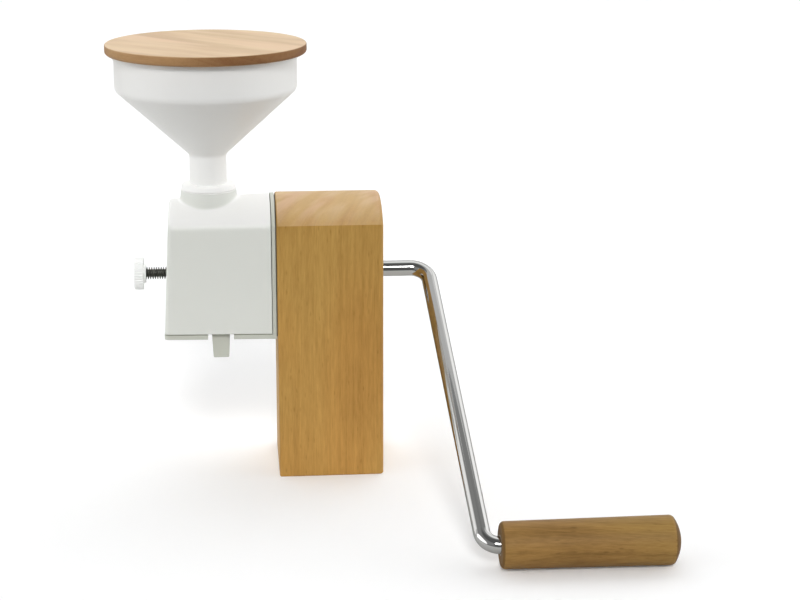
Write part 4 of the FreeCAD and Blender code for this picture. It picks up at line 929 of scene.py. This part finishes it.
@dataclass
class RollerUnit:
    """Fluted rollers between the back plate and the bearing plate, under the hood.

    The painted shade in the groove between back plate and block starts at a place along X, in metres.
    """

    white_parts: tuple[str, ...] = ("roller_frame", "bearing_plate", "front_feed_guide",
                                    "rear_feed_guide", "front_release_tab", "rear_release_tab")
    rollers: tuple[str, ...] = ("drive_roller", "upper_idler_roller", "lower_idler_roller",
                                "thrust_ball")
    # Where the painted shade in the groove at the block starts, metres along X.
    groove_left: float = -0.0342

    def dress(self) -> None:
        """White moulded frame with painted shade in its groove at the block, and ground steel rollers.
        """
        # The frame's tint takes painted shade past groove_left, where the back plate meets the block.
        white = PlasticFinish("White frame plastic", tint=linear(197, 199, 188), roughness=0.4,
                              gap_shade_from=self.groove_left)
        dress(white.make(), *self.white_parts)
        ground = MetalFinish("Ground roller steel", tint=(0.66, 0.67, 0.68),
                             line_scale=(4000, 300, 300), line_contrast=0.22, roughness=0.22,
                             stain=0.05)
        dress(ground.make(), *self.rollers)


@dataclass
class Hood:
    """White moulded cover with the socket for the hopper."""

    node: str = "hood"

    def dress(self) -> None:
        """Cool white satin plastic, painted whiter on its arch as painted top light."""
        # The top colour is painted top light on the arch.
        white = PlasticFinish("White hood plastic", tint=linear(224, 226, 220), roughness=0.42,
                              top=linear(238, 238, 236))
        dress(white.make(), self.node)


@dataclass
class GapAdjuster:
    """Black screw with its white ribbed knob, in a brass insert.

    Sizes are in metres; the tooth's root and flank are shares of half a pitch.
    """

    radius: float = 0.004
    pitch: float = 0.0015
    depth: float = 0.0016
    tooth_root: float = 0.36
    tooth_flank: float = 0.46
    rows_per_turn: int = 32
    columns: int = 48
    chamfer: float = 0.0007

    def thread(self, material: bpy.types.Material) -> bpy.types.Object:
        """Real right-hand thread over the whole screw.

        At a place x along the axis and a turn t about it, the radius is the root's radius plus
        the depth times a flat-topped tooth: the triangle wave of the phase x / pitch - t / (2 pi),
        which starts to rise after the tooth's root and is full after its flank. It shrinks to
        the root over a chamfer at both ends.

        Args:
            material: Finish of the screw.

        Returns:
            The new piece.
        """
        low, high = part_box("adjusting_screw")
        centre_y = (low.y + high.y) / 2
        centre_z = (low.z + high.z) / 2
        length = high.x - low.x
        rows = int(length / self.pitch * self.rows_per_turn)
        x = np.linspace(low.x, high.x, rows)[:, None]
        turn = np.linspace(0, 2 * np.pi, self.columns, endpoint=False)[None, :]
        phase = (x - low.x) / self.pitch - turn / (2 * np.pi)
        wave = np.abs((phase % 1.0) * 2 - 1)
        tooth = np.clip((wave - self.tooth_root) / self.tooth_flank, 0, 1)
        root = self.radius - self.depth
        from_end = np.minimum(x - low.x, high.x - x)
        limit = root + np.clip(from_end / self.chamfer, 0, 1) * self.depth
        radius = np.minimum(root + self.depth * tooth, limit)
        points = np.empty((rows + 2, self.columns, 3))
        points[1:-1, :, 0] = np.broadcast_to(x, radius.shape)
        points[1:-1, :, 1] = centre_y + radius * np.cos(turn)
        points[1:-1, :, 2] = centre_z + radius * np.sin(turn)
        points[0] = (low.x, centre_y, centre_z)
        points[-1] = (high.x, centre_y, centre_z)
        return grid_mesh("screw_thread", points, material)

    def dress(self) -> None:
        """Black oxide thread, bright white knob, turned brass insert."""
        black = MetalFinish("Black oxide steel", edge_round=0.0001, tint=(0.10, 0.10, 0.088),
                            line_scale=(1500, 500, 500), line_contrast=0.3, roughness=0.38,
                            stain=0.2)
        piece = self.thread(black.make())
        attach(piece, "adjuster")
        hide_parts("adjusting_screw")
        knob = PlasticFinish("White knob plastic", tint=linear(252, 253, 252), roughness=0.3)
        dress(knob.make(), "adjusting_knob")
        brass = MetalFinish("Turned brass", tint=(0.78, 0.6, 0.3), line_scale=(3000, 300, 300),
                            line_contrast=0.15, roughness=0.25, stain=0.08)
        dress(brass.make(), "thread_insert")


@dataclass
class Hopper:
    """White funnel in the hood's socket, closed by a beech lid whose grain lies at an angle."""

    funnel: str = "hopper_funnel"
    lid: str = "hopper_lid"
    lid_centre: Triple = (-0.075, 0.0, 0.27)
    lid_grain: float = -42.0

    def dress(self) -> None:
        """Smooth white funnel, pale sanded lid with painted top light and sheen on its face."""
        white = PlasticFinish("White hopper plastic", tint=linear(243, 243, 241), roughness=0.36)
        dress(white.make(), self.funnel)
        grain = math.radians(self.lid_grain)
        pattern = Setting(centre=self.lid_centre, turn=(0, 90, self.lid_grain))
        # The top colours and share paint the lid's face lighter, as painted top light and sheen.
        beech = BeechFinish("Beech lid", pattern, pale=linear(206, 168, 116), dark=linear(118, 74, 36),
                            blush=linear(206, 160, 112), ring_width=0.0052, pith_distance=0.09,
                            ring_contrast=0.07, streak_contrast=0.6, band_contrast=0.35,
                            fleck=0.12, figure=0.05, fibre=(math.cos(grain), math.sin(grain), 0.0),
                            end_shade=0.42, top=linear(231, 206, 170),
                            painted_top_light_blush=linear(233, 204, 170), painted_top_light_share=0.74, roughness=0.55)
        dress(beech.make(), self.lid)


@dataclass(frozen=True)
class Panel:
    """Soft panel of the studio, or a dark part of the room where its level is below 0.

    It has the way to its middle, its half angle and the softness of its edge in degrees, and
    the brightness that it adds.
    """

    middle: Triple
    half_angle: float
    softness: float
    level: float


@dataclass
class Studio:
    """Pale floor, soft lights and the camera at the photograph's viewing angle.

    Lengths are in metres and angles in degrees. The sheet's front and side are where the pale
    part of the floor ends, and the fades are how wide those ends are.
    """

    eye: Triple = (-0.062047, -1.217426, 0.444459)
    yaw: float = 5.106
    pitch: float = 15.416
    roll: float = -0.137
    focal_pixels: float = 1952.88
    clip: Pair = (0.01, 100.0)
    floor_half: float = 9.0
    floor_seen: Colour = (0.965, 0.97, 0.975)
    floor_lift: float = 0.065
    floor_cast: Colour = (0.77, 0.77, 0.76)
    floor_far: Colour = (0.12, 0.12, 0.12)
    sheet_front: float = -0.33
    sheet_front_fade: float = 0.05
    sheet_side: float = 1.0
    sheet_side_fade: float = 0.1
    roof_place: Triple = (0.0, 0.71, 1.2)
    roof_size: Pair = (1.4, 1.2)
    roof_level: float = 0.42
    room_level: float = 0.35
    backdrop_level: float = 1.0
    panels: tuple[Panel, ...] = (
        Panel((0.0, 1.0, 0.0), 71.0, 4.0, 0.69),
        Panel((-0.8, 0.5, 0.2), 30.0, 2.0, 0.45),
        Panel((0.8, 0.6, 0.2), 30.0, 2.0, 0.68),
        Panel((-0.95, -0.3, 0.15), 26.0, 2.0, 1.85),
        Panel((0.97, -0.12, 0.16), 28.0, 3.0, 1.68),
        Panel((-0.03, -0.8, 0.60), 8.0, 0.8, 22.5),
        Panel((0.0, -0.42, 0.90), 28.0, 6.0, -0.20),
        Panel((0.0, -1.0, 0.05), 20.0, 6.0, -0.18),
    )

    def camera(self) -> None:
        """Camera turned by yaw, then pitch, then roll; its lens from the focal length in pixels."""
        yaw, pitch, roll = (math.radians(angle) for angle in (self.yaw, self.pitch, self.roll))
        level = math.cos(pitch)
        ahead = Vector((math.sin(yaw) * level, math.cos(yaw) * level, -math.sin(pitch)))
        right = Vector((math.cos(yaw), -math.sin(yaw), 0))
        down = ahead.cross(right)
        side = right * math.cos(roll) + down * math.sin(roll)
        up = right * math.sin(roll) - down * math.cos(roll)
        data = bpy.data.cameras.new("photo_camera")
        data.sensor_fit = "HORIZONTAL"
        data.sensor_width = SENSOR_WIDTH
        data.lens = self.focal_pixels * SENSOR_WIDTH / PHOTO_WIDTH
        data.clip_start, data.clip_end = self.clip
        camera = bpy.data.objects.new("photo_camera", data)
        turn = Matrix((side, up, -ahead)).transposed().to_4x4()
        camera.matrix_world = Matrix.Translation(self.eye) @ turn
        bpy.context.scene.collection.objects.link(camera)
        bpy.context.scene.camera = camera

    def sheet(self, nodes: Tree) -> Socket:
        """Share of the pale sheet: behind its front end and between its sides.

        Args:
            nodes: Node tree of the floor's material.

        Returns:
            The share as a socket.
        """
        split = nodes.add("SeparateXYZ", None, Vector=nodes.add("TexCoord").outputs["Object"])
        front = self.sheet_front
        behind = nodes.step(split.outputs["Y"], front - self.sheet_front_fade,
                            front + self.sheet_front_fade)
        aside = nodes.math("ABSOLUTE", split.outputs["X"])
        outside = nodes.step(aside, self.sheet_side, self.sheet_side + self.sheet_side_fade)
        return nodes.math("MULTIPLY", behind, nodes.math("SUBTRACT", 1.0, outside))

    def floor(self) -> None:
        """Plain pale floor under the block.

        The camera sees it evenly pale, with its shadows lifted a little. What it throws back
        onto the object comes from a pale sheet that ends in front of the object and at its
        sides, and from a dark floor past that.
        """
        half = self.floor_half
        corners = [(-half, -half, 0), (half, -half, 0), (half, half, 0), (-half, half, 0)]
        mesh = bpy.data.meshes.new("floor")
        mesh.from_pydata(corners, [], [(0, 1, 2, 3)])
        material = bpy.data.materials.new("Pale floor")
        material.use_nodes = True
        material.node_tree.nodes.clear()
        nodes = Tree(material.node_tree)
        bare = nodes.add("BsdfDiffuse", None, Color=self.floor_seen)
        glow = nodes.add("Emission", None, Color=(1.0, 1.0, 1.0), Strength=self.floor_lift)
        seen = nodes.add("AddShader")
        nodes.feed(seen.inputs[0], bare.outputs[0])
        nodes.feed(seen.inputs[1], glow.outputs[0])
        thrown = nodes.mix(self.sheet(nodes), self.floor_far, self.floor_cast)
        cast = nodes.add("BsdfDiffuse", None, Color=thrown)
        shader = nodes.add("MixShader")
        nodes.feed(shader.inputs[0], nodes.add("LightPath").outputs["Is Camera Ray"])
        nodes.feed(shader.inputs[1], cast.outputs[0])
        nodes.feed(shader.inputs[2], seen.outputs[0])
        out = nodes.add("OutputMaterial")
        nodes.feed(out.inputs["Surface"], shader.outputs[0])
        mesh.materials.append(material)
        piece = bpy.data.objects.new("floor", mesh)
        bpy.context.scene.collection.objects.link(piece)

    def roof(self) -> None:
        """Flat light behind and above the object, near enough to fade out along the crank's arm.

        Its power is its brightness times pi times its area.
        """
        data = bpy.data.lights.new("roof_light", "AREA")
        data.shape = "RECTANGLE"
        data.size, data.size_y = self.roof_size
        data.energy = self.roof_level * math.pi * data.size * data.size_y
        light = bpy.data.objects.new("roof_light", data)
        light.location = self.roof_place
        light.visible_camera = False
        bpy.context.scene.collection.objects.link(light)

    def world(self) -> None:
        """Dim room with large soft panels: each lights the directions within an angle of its middle.

        The camera itself sees an even white backdrop.
        """
        world = bpy.data.worlds.new("studio")
        world.use_nodes = True
        world.node_tree.nodes.clear()
        bpy.context.scene.world = world
        nodes = Tree(world.node_tree)
        way = nodes.add("TexCoord").outputs["Generated"]
        level: object = self.room_level
        for panel in self.panels:
            middle = Vector(panel.middle).normalized()
            toward = nodes.vector("DOT_PRODUCT", way, tuple(middle))
            inside = math.cos(math.radians(panel.half_angle - panel.softness))
            outside = math.cos(math.radians(panel.half_angle + panel.softness))
            share = nodes.step(toward, outside, inside)
            level = nodes.math("MULTIPLY_ADD", share, panel.level, level)
        seen = nodes.add("LightPath").outputs["Is Camera Ray"]
        level = nodes.span(seen, level, self.backdrop_level)
        shade = nodes.add("Background", None, Color=(1.0, 1.0, 1.0), Strength=level)
        out = nodes.add("OutputWorld")
        nodes.feed(out.inputs["Surface"], shade.outputs[0])

    def build(self) -> None:
        """Sets up the view transform, the camera, the floor and the lights round the object."""
        view = bpy.context.scene.view_settings
        view.view_transform = "Standard"
        view.look = "None"
        view.exposure = 0.0
        view.gamma = 1.0
        self.camera()
        self.floor()
        self.roof()
        self.world()
        LOG.info("built the studio")


def main() -> None:
    """Builds the studio, then dresses each sub-assembly."""
    logging.basicConfig(level=logging.INFO, format="%(message)s")
    Studio().build()
    parts = (WoodenPost(), CrankHandle(), Fittings(), RollerUnit(), Hood(), GapAdjuster(), Hopper())
    for part in parts:
        part.dress()
        LOG.info("finished %s", type(part).__name__)


if __name__ == "__main__":
    main()
